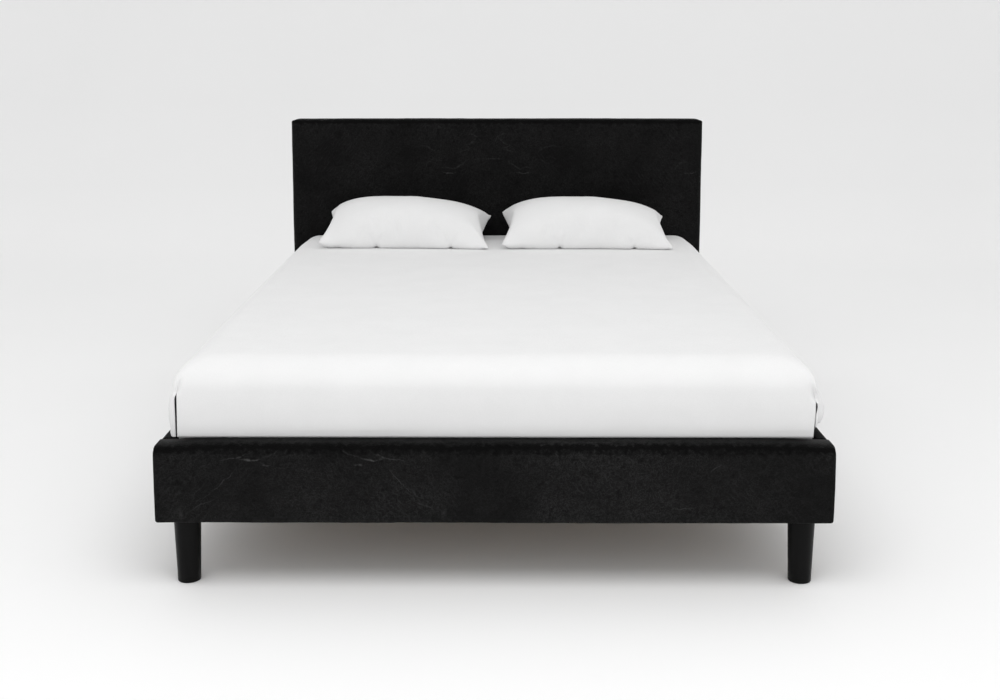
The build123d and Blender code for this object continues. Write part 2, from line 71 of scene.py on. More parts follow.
def smooth_step(low, high, value):
    share = np.clip((value - low) / (high - low), 0.0, 1.0)
    return share * share * (3 - 2 * share)


def hump(value, centre, width):
    return np.exp(-(((value - centre) / width) ** 2))


SEED_STEPS = (7.13, 3.71, 1.37)


def wobble(points, scale, amplitude, seed):
    """Smooth noise at each point, between minus and plus amplitude."""
    shift = Vector([seed * step for step in SEED_STEPS])
    return np.array([noise.noise(Vector(p) * scale + shift) for p in points]) * amplitude


# Meshes
def mesh_object(name, vertices, faces, material):
    mesh = bpy.data.meshes.new(name)
    mesh.from_pydata([tuple(map(float, v)) for v in vertices], [], faces)
    mesh.validate()
    mesh.update()
    mesh.polygons.foreach_set("use_smooth", [True] * len(mesh.polygons))
    mesh.materials.append(material)
    piece = bpy.data.objects.new(name, mesh)
    bpy.context.scene.collection.objects.link(piece)
    return piece


def strip_faces(rows, columns, closed, looped=False):
    """Quads between rows of vertices, each a run or a closed ring; looped joins the last row to the first."""
    faces = []
    for r in range(rows if looped else rows - 1):
        s = (r + 1) % rows
        for c in range(columns if closed else columns - 1):
            d = (c + 1) % columns
            faces.append((r * columns + c, r * columns + d, s * columns + d, s * columns + c))
    return faces


def solid_object(name, vertices, faces, material):
    """A mesh with its double vertices joined and every face turned outwards."""
    piece = mesh_object(name, vertices, faces, material)
    shape = bmesh.new()
    shape.from_mesh(piece.data)
    bmesh.ops.remove_doubles(shape, verts=shape.verts, dist=1e-6)
    bmesh.ops.recalc_face_normals(shape, faces=shape.faces)
    shape.to_mesh(piece.data)
    shape.free()
    return piece


# Materials
# How far apart a wave texture's bands are at a scale of one
BAND_SPACING = 0.314


def grey(level):
    return (level, level, level, 1.0)


class Nodes:
    """A node tree, with a short method for each kind of node that the materials share."""

    def __init__(self, tree):
        self.tree = tree

    def feed(self, socket, value):
        """Links an output to a socket, or sets the socket's own value."""
        if isinstance(value, bpy.types.NodeSocket):
            self.tree.links.new(value, socket)
        else:
            socket.default_value = value

    def add(self, kind, inputs=(), **settings):
        """Adds a node and gives its outputs."""
        node = self.tree.nodes.new("ShaderNode" + kind)
        for key, value in settings.items():
            setattr(node, key, value)
        for key, value in dict(inputs).items():
            self.feed(node.inputs[key], value)
        return node.outputs

    def maths(self, operation, first, second=0.0):
        return self.add("Math", {0: first, 1: second}, operation=operation)[0]

    def plus(self, first, second):
        return self.maths("ADD", first, second)

    def minus(self, first, second):
        return self.maths("SUBTRACT", first, second)

    def product(self, *values):
        return reduce(lambda first, second: self.maths("MULTIPLY", first, second), values)

    def most(self, *values):
        return reduce(lambda first, second: self.maths("MAXIMUM", first, second), values)

    def parts(self, vector):
        return self.add("SeparateXYZ", {"Vector": vector})

    def ramp(self, value, stops):
        """A ramp from grey levels or colours at places from 0 to 1."""
        colour = self.add("ValToRGB", {"Fac": value})["Color"]
        band = colour.node.color_ramp
        while len(band.elements) < len(stops):
            band.elements.new(0.5)
        for element, (where, level) in zip(band.elements, stops):
            element.position = where
            element.color = (*level, 1.0) if hasattr(level, "__len__") else grey(level)
        return colour

    def blend(self, mode, factor, first, second):
        return self.add("Mix", {0: factor, 6: first, 7: second}, data_type="RGBA", blend_type=mode)[2]


class Surface(Nodes):
    """A new material: its nodes, its shader, and where each point lies in the object's own axes."""

    def __init__(self, name, roughness, specular, others=()):
        self.material = bpy.data.materials.new(name)
        self.material.use_nodes = True
        super().__init__(self.material.node_tree)
        self.shader = self.tree.nodes["Principled BSDF"]
        for socket, value in {"Roughness": roughness, "Specular IOR Level": specular, **dict(others)}.items():
            self.shade(socket, value)
        self.place = self.add("TexCoord")["Object"]

    def shade(self, socket, value):
        self.feed(self.shader.inputs[socket], value)

    def bump(self, height, distance, strength=1.0):
        inputs = {"Height": height, "Distance": distance, "Strength": strength}
        self.shade("Normal", self.add("Bump", inputs)["Normal"])

    def stretched(self, scale):
        return self.add("Mapping", {"Vector": self.place, "Scale": scale})["Vector"]

    def cloud(self, scale, detail=4.0, roughness=0.55, distortion=0.0):
        """Noise, its scale one number or one for each axis."""
        even = isinstance(scale, float)
        inputs = {"Vector": self.place if even else self.stretched(scale), "Scale": scale if even else 1.0}
        inputs.update({"Detail": detail, "Roughness": roughness, "Distortion": distortion})
        return self.add("TexNoise", inputs)["Fac"]

    def bands(self, place, spacing, axis, distortion, detail, detail_scale):
        """Wavy bands across an axis, a set distance apart."""
        inputs = {"Vector": place, "Scale": BAND_SPACING / spacing, "Distortion": distortion}
        inputs.update({"Detail": detail, "Detail Scale": detail_scale})
        return self.add("TexWave", inputs, bands_direction=axis)["Fac"]

    def cell_edges(self, place, scale):
        inputs = {"Vector": place, "Scale": scale}
        return self.add("TexVoronoi", inputs, feature="DISTANCE_TO_EDGE")["Distance"]


def crease_mark(hide, plane, along, up, half, tilt, bend, width):
    """A soft curved line on a plane: its middle, half length, slope, rise of its ends and half width."""
    inputs = {"Location": (along, 0, up), "Rotation": (0, -tilt, 0), "Scale": (half, 1, half)}
    local = hide.add("Mapping", {"Vector": plane, **inputs}, vector_type="TEXTURE")["Vector"]
    local = hide.parts(local)
    square = hide.product(local["X"], local["X"])
    off_line = hide.maths("ABSOLUTE", hide.minus(local["Z"], hide.product(square, bend)))
    line = hide.most(hide.minus(1.0, hide.product(off_line, half / width)), 0.0)
    return hide.product(line, hide.most(hide.minus(1.0, square), 0.0))


CREASE_SLANT = math.radians(38)
CREASE_SPACING = 0.012
NET_WARP = 0.012
# A painted pool of light on the foot rail's top towards its ends: how far it reaches from its back edge, and
# where it starts towards its ends
PAINTED_LIGHT_DEPTH = 0.05
PAINTED_LIGHT_START, PAINTED_LIGHT_FULL = 0.725, 0.76


def leather_material(name, tone, axis, marks):
    """Black hide: fine grain, a crease net, slanted creases mirrored about an axis and pale rubbed marks,
    with painted shade on its rolled edges and painted light on the foot rail's top ends.
    """
    hide = Surface(name, 0.5, 0.06)
    bent = hide.add("TexNoise", {"Vector": hide.place, "Scale": 60.0, "Detail": 3.0})["Color"]
    bent = hide.add("VectorMath", {0: bent, 1: (NET_WARP, NET_WARP, NET_WARP)}, operation="MULTIPLY")[0]
    warped = hide.add("VectorMath", {0: hide.place, 1: bent}, operation="ADD")[0]
    creases = hide.ramp(hide.cell_edges(warped, 165.0), [(0.0, 1.0), (0.08, 0.5), (0.2, 0.0)])
    pebbles = hide.ramp(hide.cell_edges(warped, 420.0), [(0.0, 0.0), (0.25, 1.0)])
    worn = hide.ramp(hide.cloud(5.0, 6.0, 0.6), [(0.38, 0.0), (0.66, 1.0)])
    broken = hide.ramp(hide.cloud(45.0), [(0.42, 0.0), (0.62, 1.0)])
    rubbed = hide.ramp(hide.cloud(7.5, 4.0, 0.5), [(0.44, 0.0), (0.6, 1.0)])
    frayed = hide.ramp(hide.cloud(130.0, 3.0), [(0.36, 0.15), (0.6, 1.0)])

    where = hide.parts(warped)
    along = hide.maths("ABSOLUTE", hide.minus(hide.plus(where["X"], where["Y"]), axis))
    plane = hide.add("CombineXYZ", {"X": along, "Z": where["Z"]})["Vector"]
    turned = hide.add("Mapping", {"Vector": plane, "Rotation": (0.0, CREASE_SLANT, 0.0)})["Vector"]
    slant = hide.bands(turned, CREASE_SPACING, "X", 6.0, 3.0, 1.8)
    slanted = hide.product(hide.ramp(slant, [(0.68, 0.0), (0.95, 1.0)]), broken)
    contour = hide.maths("ABSOLUTE", hide.minus(hide.cloud(105.0, 3.0, 0.6, 0.6), 0.5))
    fibres = hide.ramp(contour, [(0.0, 1.0), (0.02, 0.45), (0.05, 0.0)])
    fibres = hide.product(fibres, hide.plus(hide.product(worn, 0.5), 0.15))
    lines = [hide.product(crease_mark(hide, plane, *form), strength) for *form, strength in marks]
    marked = hide.most(*lines)

    colour = hide.ramp(hide.cloud(14.0, 5.0), [(0.3, 0.0062 * tone), (0.75, 0.0098 * tone)])
    colour = hide.blend("MIX", hide.product(worn, 0.8), colour, grey(0.0128 * tone))
    fine = hide.ramp(hide.cloud(240.0, 2.0, 0.6), [(0.32, 0.68), (0.68, 1.0)])
    colour = hide.blend("MULTIPLY", 1.0, colour, fine)
    net_share = hide.product(creases, hide.plus(hide.product(worn, 0.2), 0.04))
    slant_share = hide.product(slanted, rubbed, 0.5)
    mark_share = hide.product(marked, frayed)
    for share, level in ((net_share, 0.034), (fibres, 0.046), (slant_share, 0.032), (mark_share, 0.1)):
        colour = hide.blend("MIX", share, colour, grey(level * tone))

    # Painted shade: the colour darkens where the hide rolls over towards its tops, most where it faces half
    # upward, and a little on the flat tops
    upward = hide.parts(hide.add("NewGeometry")["Normal"])["Z"]
    ragged = hide.product(hide.minus(hide.cloud(70.0), 0.5), 1.3)
    rolled = hide.ramp(hide.plus(upward, ragged), [(0.05, 1.0), (0.4, 0.1), (0.88, 0.12), (1.0, 0.8)])
    colour = hide.blend("MULTIPLY", 1.0, colour, rolled)
    # Painted light: the foot rail's upward faces turn paler towards its ends, near its back edge
    exact = hide.parts(hide.place)
    level = hide.ramp(upward, [(0.75, 0.0), (0.95, 1.0)])
    end = hide.ramp(hide.maths("ABSOLUTE", exact["X"]), [(PAINTED_LIGHT_START, 0.0), (PAINTED_LIGHT_FULL, 1.0)])
    behind = hide.minus(exact["Y"], FOOT_BACK_Y - PAINTED_LIGHT_DEPTH)
    painted_light_fade = hide.ramp(behind, [(0.005, 0.1), (0.035, 1.0), (0.048, 1.0), (PAINTED_LIGHT_DEPTH, 0.0)])
    painted_light_patch = hide.product(level, end, hide.product(painted_light_fade, 0.7))
    hide.shade("Base Color", hide.blend("MIX", painted_light_patch, colour, grey(0.08 * tone)))
    sheen = hide.ramp(hide.cloud(30.0), [(0.3, 0.46), (0.7, 0.6)])
    dull = hide.ramp(upward, [(0.2, 0.0), (0.7, 0.16)])
    hide.shade("Roughness", hide.blend("ADD", 1.0, sheen, dull))
    hide.bump(hide.minus(hide.product(pebbles, 0.35), creases), 0.0006, 0.8)
    return hide.material


def lacquer_material():
    lacquer = Surface("black_lacquer", 0.36, 0.1)
    tone = lacquer.ramp(lacquer.cloud((60, 60, 6), 5.0), [(0.3, 0.0022), (0.75, 0.0042)])
    lacquer.shade("Base Color", tone)
    lacquer.shade("Roughness", lacquer.ramp(lacquer.cloud(40.0), [(0.3, 0.3), (0.7, 0.44)]))
    lacquer.bump(lacquer.cloud((500, 500, 30), 3.0), 0.00015)
    return lacquer.material


def cloth_material(name, low, high, thread, sheen=0.15, depth=0.00025):
    """A plain weave, its two threads crossed on whichever plane the cloth faces, with slubs."""
    cloth = Surface(name, 0.9, 0.15, {"Sheen Weight": sheen, "Sheen Roughness": 0.5})
    threads = {axis: cloth.bands(cloth.place, thread, axis, 0.5, 1.0, 0.3) for axis in "XYZ"}
    normal = cloth.add("NewGeometry")["Normal"]
    shares = cloth.parts(cloth.add("VectorMath", {0: normal}, operation="ABSOLUTE")[0])
    crossed = [
        cloth.product(threads[first], threads[second], cloth.maths("POWER", share, 3.0))
        for share, (first, second) in zip(shares, ("YZ", "XZ", "XY"))
    ]
    shade = cloth.ramp(cloth.cloud(9.0, 6.0, 0.6), [(0.3, low), (0.7, high)])
    slub = cloth.ramp(cloth.cloud((900, 90, 900), 2.0), [(0.35, 0.96), (0.65, 1.0)])
    cloth.shade("Base Color", cloth.blend("MULTIPLY", 1.0, shade, slub))
    cloth.bump(reduce(cloth.plus, crossed), depth, 0.6)
    return cloth.material


def wood_material(name, along, light, dark, ring=0.02):
    """Plain sawn grain that runs along one axis."""
    wood = Surface(name, 0.62, 0.3)
    squeeze = [0.06 if axis == along else 1.0 for axis in "XYZ"]
    rings = wood.bands(wood.stretched(squeeze), ring, "X" if along == "Z" else "Z", 5.0, 4.0, 1.6)
    fibre = wood.cloud([900 * share for share in squeeze], 4.0)
    board = wood.cloud((1.5, 8.0, 1.5), 1.0)
    tone = wood.blend("MIX", rings, (*light, 1.0), (*dark, 1.0))
    tone = wood.blend("MULTIPLY", 0.5, tone, wood.ramp(fibre, [(0.3, 0.72), (0.7, 1.0)]))
    tone = wood.blend("MULTIPLY", 0.6, tone, wood.ramp(board, [(0.3, 0.7), (0.7, 1.0)]))
    wood.shade("Base Color", tone)
    wood.bump(fibre, 0.0003, 0.5)
    return wood.material


def metal_material(name, low, high, roughness, metallic, grain=300.0):
    metal = Surface(name, roughness, 0.5, {"Metallic": metallic})
    metal.shade("Base Color", metal.ramp(metal.cloud(60.0, 5.0), [(0.3, low), (0.7, high)]))
    metal.bump(metal.cloud(grain, 3.0), 0.0001, 0.5)
    return metal.material


def foam_material():
    foam = Surface("foam", 0.95, 0.1)
    cells = foam.add("TexVoronoi", {"Vector": foam.place, "Scale": 600.0})["Distance"]
    foam.shade("Base Color", foam.ramp(cells, [(0.0, (0.42, 0.36, 0.2)), (0.6, (0.74, 0.68, 0.46))]))
    foam.bump(cells, 0.0006)
    return foam.material


# Rubbed creases: distance along from the mirror axis, height, half length, slope, rise of the ends,
# half width, strength
RAIL_MARKS = [
    (0.145, 0.3275, 0.030, 0.0, 0.16, 0.0030, 1.0),
    (0.180, 0.3320, 0.044, -0.22, 0.12, 0.0022, 0.55),
    (0.110, 0.3160, 0.013, 0.1, 0.2, 0.0030, 0.75),
    (0.215, 0.2680, 0.062, -0.75, 0.1, 0.0018, 0.45),
    (0.260, 0.2200, 0.032, -0.4, -0.1, 0.0018, 0.4),
    (0.085, 0.3450, 0.032, -0.45, 0.1, 0.0026, 0.4),
    (0.314, 0.1960, 0.017, 1.5, 0.0, 0.0070, 0.22),
    (0.874, 0.2080, 0.028, 0.0, 0.25, 0.0020, 0.5),
    (0.952, 0.3100, 0.020, 0.5, -0.1, 0.0020, 0.45),
]
HEAD_MARKS = [
    (0.145, 0.7960, 0.030, 0.0, 0.16, 0.0036, 0.75),
    (0.150, 0.8180, 0.030, 0.15, -0.3, 0.0036, 0.3),
    (0.105, 0.8270, 0.036, -0.6, 0.15, 0.0044, 0.36),
    (0.060, 0.9170, 0.034, -0.6, 0.35, 0.0044, 0.3),
    (0.050, 0.9460, 0.034, 0.5, -0.4, 0.0044, 0.3),
    (0.075, 0.8970, 0.026, 0.4, 0.4, 0.0044, 0.26),
    (0.020, 0.8530, 0.055, 0.0, -0.06, 0.0036, 0.26),
    (0.088, 0.8850, 0.030, -0.4, 0.2, 0.0040, 0.26),
    (0.235, 0.9000, 0.050, 0.3, -0.35, 0.0050, 0.22),
    (0.220, 0.8450, 0.040, -0.5, -0.55, 0.0040, 0.22),
    (0.800, 0.7960, 0.030, 0.1, 0.18, 0.0036, 0.65),
    (0.760, 0.8370, 0.042, 0.4, -0.6, 0.0040, 0.26),
]
RAIL_MIRROR = -1.521
HEAD_MIRROR = 0.984
# The headboard's copy of the hide has a lower tone than the rails': painted shade for the weaker light that
# reaches the headboard
LEATHER = leather_material("rail_leather", 0.66, RAIL_MIRROR, RAIL_MARKS)
HEAD_LEATHER = leather_material("headboard_leather", 0.43, HEAD_MIRROR, HEAD_MARKS)
LACQUER = lacquer_material()
COVER_CLOTH = cloth_material("white_percale", 0.825, 0.85, 0.0011)
PILLOW_CLOTH = cloth_material("white_pillow_cotton", 0.78, 0.805, 0.0009)
TICKING = cloth_material("charcoal_ticking", 0.022, 0.034, 0.003, depth=0.0008)
BACKING = cloth_material("black_backing", 0.010, 0.018, 0.0022, sheen=0.05)
STRAP = cloth_material("woven_strap", 0.02, 0.04, 0.0025, depth=0.0006)
PINE = {}
for axis in "XYZ":
    PINE[axis] = wood_material("pine_" + axis.lower(), axis, (0.64, 0.52, 0.39), (0.52, 0.4, 0.28))
PLYWOOD = wood_material("plywood", "X", (0.6, 0.42, 0.25), (0.47, 0.3, 0.16), 0.05)
HARDWOOD = wood_material("hardwood", "Z", (0.46, 0.29, 0.16), (0.33, 0.19, 0.1), 0.012)
ZINC = metal_material("zinc_steel", 0.5, 0.66, 0.34, 1.0)
BLACK_STEEL = metal_material("black_powder_coat", 0.012, 0.022, 0.48, 0.0, 700.0)
NYLON = metal_material("black_nylon", 0.014, 0.026, 0.55, 0.0, 500.0)
FOAM = foam_material()


# Padded leather rails: a rounded profile run along the rail, its ends rolled over
def rounded_profile(low, high, radii, turns, parts):
    """Points and outward normals round a rectangle from its low corner; turns and parts set the counts."""
    (a0, b0), (a1, b1) = low, high
    corners = [(a0, b0, 270), (a0, b1, 180), (a1, b1, 90), (a1, b0, 0)]
    points = []
    for (a, b, start_angle), radius in zip(corners, radii):
        centre_a = a + radius if a == a0 else a - radius
        centre_b = b + radius if b == b0 else b - radius
        for t in range(turns + 1):
            angle = math.radians(start_angle - 90 * t / turns)
            na, nb = math.cos(angle), math.sin(angle)
            points.append((centre_a + radius * na, centre_b + radius * nb, na, nb))
    full = []
    for index, (here, there) in enumerate(zip(points, points[1:] + points[:1])):
        full.append(here)
        if index % (turns + 1) == turns:
            count = parts[index // (turns + 1)]
            full += [tuple(h + (t - h) * k / count for h, t in zip(here, there)) for k in range(1, count)]
    return np.array(full)


RAIL_CELL = 0.008
RAIL_STEP = 0.01
LEAST_EASE = 0.0012
END_RINGS = (0.85, 0.65, 0.4, 0.18)


def rolled_rail(name, low, high, radii, rolls, along, place):
    """A closed padded rail: radii go round its profile from the low corner by the front, top and back,
    and rolls say how far its front, top, back and base turn over at its ends."""
    turns = 8
    spans = (high[1] - low[1], high[0] - low[0]) * 2
    parts = [max(2, int(span / RAIL_CELL)) for span in spans]
    start, end = along
    half_rings = []
    for angle in np.linspace(0, QUARTER, turns + 1):
        front, top, back, base = (roll * (1 - math.sin(angle)) for roll in rolls)
        beside = ((front, base), (front, top), (back, top), (back, base))
        ease = [max(radius - max(pair), LEAST_EASE) for radius, pair in zip(radii, beside)]
        corners = (low[0] + front, low[1] + base), (high[0] - back, high[1] - top)
        profile = rounded_profile(*corners, ease, turns, parts)
        na, nb = profile[:, 2], profile[:, 3]
        weights = np.stack([-na, nb, na, -nb]).clip(0) ** 2
        reach = (weights.T @ np.array(rolls)) / weights.sum(axis=0)
        half_rings.append((reach * (1 - math.cos(angle)), profile))
    points = [place(start + run, p[:, 0], p[:, 1]) for run, p in half_rings]
    widest = max(rolls) + RAIL_CELL / 2
    flat = half_rings[-1][1]
    for run in np.linspace(start + widest, end - widest, int((end - start) / RAIL_STEP)):
        points.append(place(np.full(len(flat), run), flat[:, 0], flat[:, 1]))
    points += [place(end - run, p[:, 0], p[:, 1]) for run, p in reversed(half_rings)]
    count = len(flat)
    vertices = list(np.concatenate(points))
    faces = strip_faces(len(points), count, True)
    for ring in (0, len(points) - 1):
        edge = np.array(vertices[ring * count:(ring + 1) * count])
        middle = edge.mean(axis=0)
        previous = list(range(ring * count, (ring + 1) * count))
        for shrink in END_RINGS:
            fresh = list(range(len(vertices), len(vertices) + count))
            vertices.extend(middle + (edge - middle) * shrink)
            faces += [(previous[c - 1], previous[c], fresh[c], fresh[c - 1]) for c in range(count)]
            previous = fresh
        vertices.append(middle)
        faces += [(previous[c - 1], previous[c], len(vertices) - 1) for c in range(count)]
    return solid_object(name, np.array(vertices), faces, LEATHER)


def crumple(piece, layers, allow):
    """Moves each vertex along its normal by layers of noise (scale, amplitude, seed), as far as allowed."""
    mesh = piece.data
    count = len(mesh.vertices)
    points = np.empty(count * 3)
    normals = np.empty(count * 3)
    mesh.vertices.foreach_get("co", points)
    mesh.vertex_normals.foreach_get("vector", normals)
    points = points.reshape(-1, 3)
    normals = normals.reshape(-1, 3)
    rise = allow(points, normals, sum(wobble(points, *layer) for layer in layers))
    points = points + normals * rise[:, None]
    mesh.vertices.foreach_set("co", points.ravel())
    mesh.update()


# How much of a face's normal points one way where the face looks that way, and where it only leans that way
LOOKS, LEANS = 0.5, 0.3
FOOT_TOP_SWELL = 0.0045
FOOT_FRONT_SWELL = 0.0014
SIDE_SWELL = 0.0012
SWELL_FADE = (0.01, 0.12)
END_PRESS = 0.0024
RAIL_MIDDLE = (LEG_HEIGHT + RAIL_TOP) / 2
RAIL_HALF = (RAIL_TOP - LEG_HEIGHT) / 2
FOOT_MIDDLE = (FOOT_Y + FOOT_BACK_Y) / 2
FOOT_HALF = (FOOT_BACK_Y - FOOT_Y) / 2


def swell(off_middle, half, depth):
    """Extra rise in the middle of a padded face, none at its edges."""
    return depth * np.clip(1 - (off_middle / half) ** 4, 0, 1)


def foot_rail():
    radii = (0.005, 0.021, 0.010, 0.004)
    rolls = (0.004, 0.006, 0.003, 0.007)

    def place(run, a, b):
        return np.stack([run, a, b], axis=1)

    def settle(points, normals, rise):
        x, y, z = points.T
        front, top, back = normals[:, 1] < -LOOKS, normals[:, 2] > LOOKS, normals[:, 1] > LEANS
        rise = rise + np.where(front, swell(z - RAIL_MIDDLE, RAIL_HALF, FOOT_FRONT_SWELL), 0)
        crown = swell(y - FOOT_MIDDLE, FOOT_HALF, FOOT_TOP_SWELL)
        rise = rise + np.where(top, crown * smooth_step(*SWELL_FADE, SIDE_X - np.abs(x)), 0)
        return np.where(back, np.minimum(rise, 0), rise)

    low, high = (FOOT_Y, LEG_HEIGHT), (FOOT_BACK_Y, RAIL_TOP)
    piece = rolled_rail("foot_rail_leather", low, high, radii, rolls, (-SIDE_X, SIDE_X), place)
    crumple(piece, [(7.0, 0.0011, 1), (26.0, 0.0005, 2)], settle)
    return piece


def side_rail(sign, name):
    radii = (0.004, 0.010, 0.016, 0.005)
    rolls = (0.002, 0.007, 0.002, 0.002)

    def place(run, a, b):
        return np.stack([sign * a, run, b], axis=1)

    def settle(points, normals, rise):
        outward = sign * normals[:, 0]
        rise = rise + np.where(outward > LOOKS, swell(points[:, 2] - RAIL_MIDDLE, RAIL_HALF, SIDE_SWELL), 0)
        blocked = (outward < -LEANS) | (np.abs(normals[:, 1]) > LEANS)
        return np.where(blocked, np.minimum(rise, 0), rise)

    low, high = (INNER_X, LEG_HEIGHT), (SIDE_X, RAIL_TOP)
    ends = (FOOT_BACK_Y - END_PRESS, HEAD_FRONT_Y + END_PRESS)
    piece = rolled_rail(name, low, high, radii, rolls, ends, place)
    crumple(piece, [(7.0, 0.001, 3 + sign), (26.0, 0.0005, 5 + sign)], settle)
    return piece


# Rounded outlines as the edge of a grid, so that a panel and the rings round it share vertices
def outline_order(columns, rows):
    """Grid indices round the edge, from the low-low corner along the first side."""
    order = [(i, 0) for i in range(columns)]
    order += [(columns, j) for j in range(rows)]
    order += [(i, rows) for i in range(columns, 0, -1)]
    order += [(0, j) for j in range(rows, 0, -1)]
    return order


# The end cell of a straight run as a share of its middle cells, and how fast the cells grow from there
END_CELL, CELL_GROWTH = 0.18, 1.26


def run_shares(count, corner_cells):
    """Places along a side's straight run from 0 to 1, in fine cells near its ends."""
    cells = count - 2 * corner_cells
    near = np.minimum(np.arange(cells), np.arange(cells)[::-1])
    sizes = np.minimum(1.0, END_CELL * CELL_GROWTH ** near)
    return np.concatenate([[0.0], np.cumsum(sizes) / sizes.sum()])


def rounded_outline(columns, rows, corner_cells, x_low, x_high, y_low, y_high, radius):
    """Points of the grid's edge on a rounded rectangle; radius is one value, or one for each corner."""
    radii = radius if hasattr(radius, "__len__") else (radius,) * 4
    corners = ((x_low, y_low, 1, 1), (x_high, y_low, -1, 1), (x_high, y_high, -1, -1), (x_low, y_high, 1, -1))

    def on_arc(corner, share):
        """A point on a corner's arc, from its start at 0 to its end at 1."""
        x, y, inward_x, inward_y = corners[corner]
        r = radii[corner]
        angle = QUARTER * (2 + corner + share)
        return np.array((x + r * (inward_x + math.cos(angle)), y + r * (inward_y + math.sin(angle))))

    half_arc = np.arange(corner_cells) / (2 * corner_cells)
    points = []
    for corner, cells in enumerate((columns, rows, columns, rows)):
        following = (corner + 1) % 4
        start, end = on_arc(corner, 1), on_arc(following, 0)
        points += [on_arc(corner, 0.5 + share) for share in half_arc]
        points += [start + (end - start) * share for share in run_shares(cells, corner_cells)]
        points += [on_arc(following, share) for share in half_arc[1:]]
    return np.array(points)


def fill_panel(columns, rows, edge):
    """Grid points inside an outline, by blending its four sides."""
    grid = np.zeros((columns + 1, rows + 1, edge.shape[1]))
    for (i, j), point in zip(outline_order(columns, rows), edge):
        grid[i, j] = point
    u = np.linspace(0, 1, columns + 1)[:, None, None]
    v = np.linspace(0, 1, rows + 1)[None, :, None]
    sides = (1 - u) * grid[:1] + u * grid[-1:] + (1 - v) * grid[:, :1] + v * grid[:, -1:]
    corners = (1 - u) * (1 - v) * grid[0, 0] + u * (1 - v) * grid[-1, 0]
    corners = corners + (1 - u) * v * grid[0, -1] + u * v * grid[-1, -1]
    inner = sides - corners
    grid[1:-1, 1:-1] = inner[1:-1, 1:-1]
    return grid


def panel_faces(columns, rows, offset=0):
    faces = []
    for i in range(columns):
        for j in range(rows):
            a = offset + i * (rows + 1) + j
            faces.append((a, a + rows + 1, a + rows + 2, a + 1))
    return faces


def panel_edge_indices(columns, rows, offset=0):
    return [offset + i * (rows + 1) + j for i, j in outline_order(columns, rows)]


def ringed_solid(name, columns, rows, rings, material):
    """A closed solid from rings of outline points: the first and last are filled with panels."""
    first = fill_panel(columns, rows, rings[0]).reshape(-1, 3)
    last = fill_panel(columns, rows, rings[-1]).reshape(-1, 3)
    vertices = [first]
    faces = panel_faces(columns, rows)
    previous = panel_edge_indices(columns, rows)
    total = len(first)
    loop = len(previous)
    for ring in rings[1:-1]:
        current = list(range(total, total + loop))
        vertices.append(ring)
        total += loop
        faces += [(previous[c - 1], previous[c], current[c], current[c - 1]) for c in range(loop)]
        previous = current
    vertices.append(last)
    faces += panel_faces(columns, rows, total)
    current = panel_edge_indices(columns, rows, total)
    faces += [(previous[c - 1], previous[c], current[c], current[c - 1]) for c in range(loop)]
    return solid_object(name, np.concatenate(vertices), faces, material)


def eased_levels(low, high, low_r, high_r, cells):
    """Insets and levels from one face to another, both edges rounded; cells count round, run and round."""
    first, middle, last = cells
    levels = []
    for angle in np.linspace(0, QUARTER, first + 1):
        levels.append((low_r * (1 - math.sin(angle)), low + low_r * (1 - math.cos(angle))))
    levels += [(0.0, level) for level in np.linspace(low + low_r, high - high_r, middle + 1)[1:]]
    for angle in np.linspace(0, QUARTER, last + 1)[1:]:
        levels.append((high_r * (1 - math.cos(angle)), high - high_r * (1 - math.sin(angle))))
    return levels


# How far the headboard's top corners sink, over what width, and from what height
DROOP = 0.005
DROOP_RUN = 0.014
DROOP_START = 0.85
# Above the bedding the front's padding stands out freely; lower down it keeps clear of what lifts past it
FREE_RISE = (0.86, 0.92)
CLEAR_RISE = (0.57, 0.62)
FREE_MOST, CLEAR_MOST = 0.01, 0.001
PUFF = 0.004
PUFF_HALF_WIDTH = 0.8
PUFF_MIDDLE, PUFF_HALF_HEIGHT = 0.78, 0.215


def headboard():
    """Padded slab with rolled front edges and a flat, lightly eased back."""
    columns, rows, corner_cells = 140, 76, 3
    front_r, back_r, corner_r, least_r = 0.020, 0.004, 0.006, 0.005
    rings = []
    for inset, y in eased_levels(HEAD_FRONT_Y, HEAD_BACK_Y, front_r, back_r, (7, 6, 3)):
        edge = rounded_outline(
            columns, rows, corner_cells,
            -SIDE_X + inset, SIDE_X - inset, LEG_HEIGHT + inset, HEADBOARD_HEIGHT - inset,
            max(corner_r - inset, least_r),
        )
        rings.append(np.insert(edge, 1, y, axis=1))
    piece = ringed_solid("headboard_leather", columns, rows, rings, HEAD_LEATHER)

    def settle(points, normals, rise):
        x, _, z = points.T
        free = smooth_step(*FREE_RISE, z)
        puff = swell(x, PUFF_HALF_WIDTH, PUFF) * swell(z - PUFF_MIDDLE, PUFF_HALF_HEIGHT, 1.0) * free
        limit = CLEAR_MOST * smooth_step(*CLEAR_RISE, z) + FREE_MOST * free
        rise = np.where(normals[:, 1] < -LOOKS, np.minimum(rise + puff, limit), rise)
        return np.where(normals[:, 1] > LEANS, np.minimum(rise, 0), rise)

    crumple(piece, [(5.0, 0.0014, 7), (24.0, 0.0005, 8)], settle)
    for vertex in piece.data.vertices:
        x, _, z = vertex.co
        near_top = smooth_step(DROOP_START, HEADBOARD_HEIGHT, z)
        vertex.co.z = z - DROOP * near_top * hump(SIDE_X - abs(x), 0, DROOP_RUN)
    piece.data.update()
    return piece


HEM_WIDTH = 0.012
CLOTH_SAG, CLOTH_RIPPLE, RIPPLE_SCALE = 0.0003, 0.0002, 6


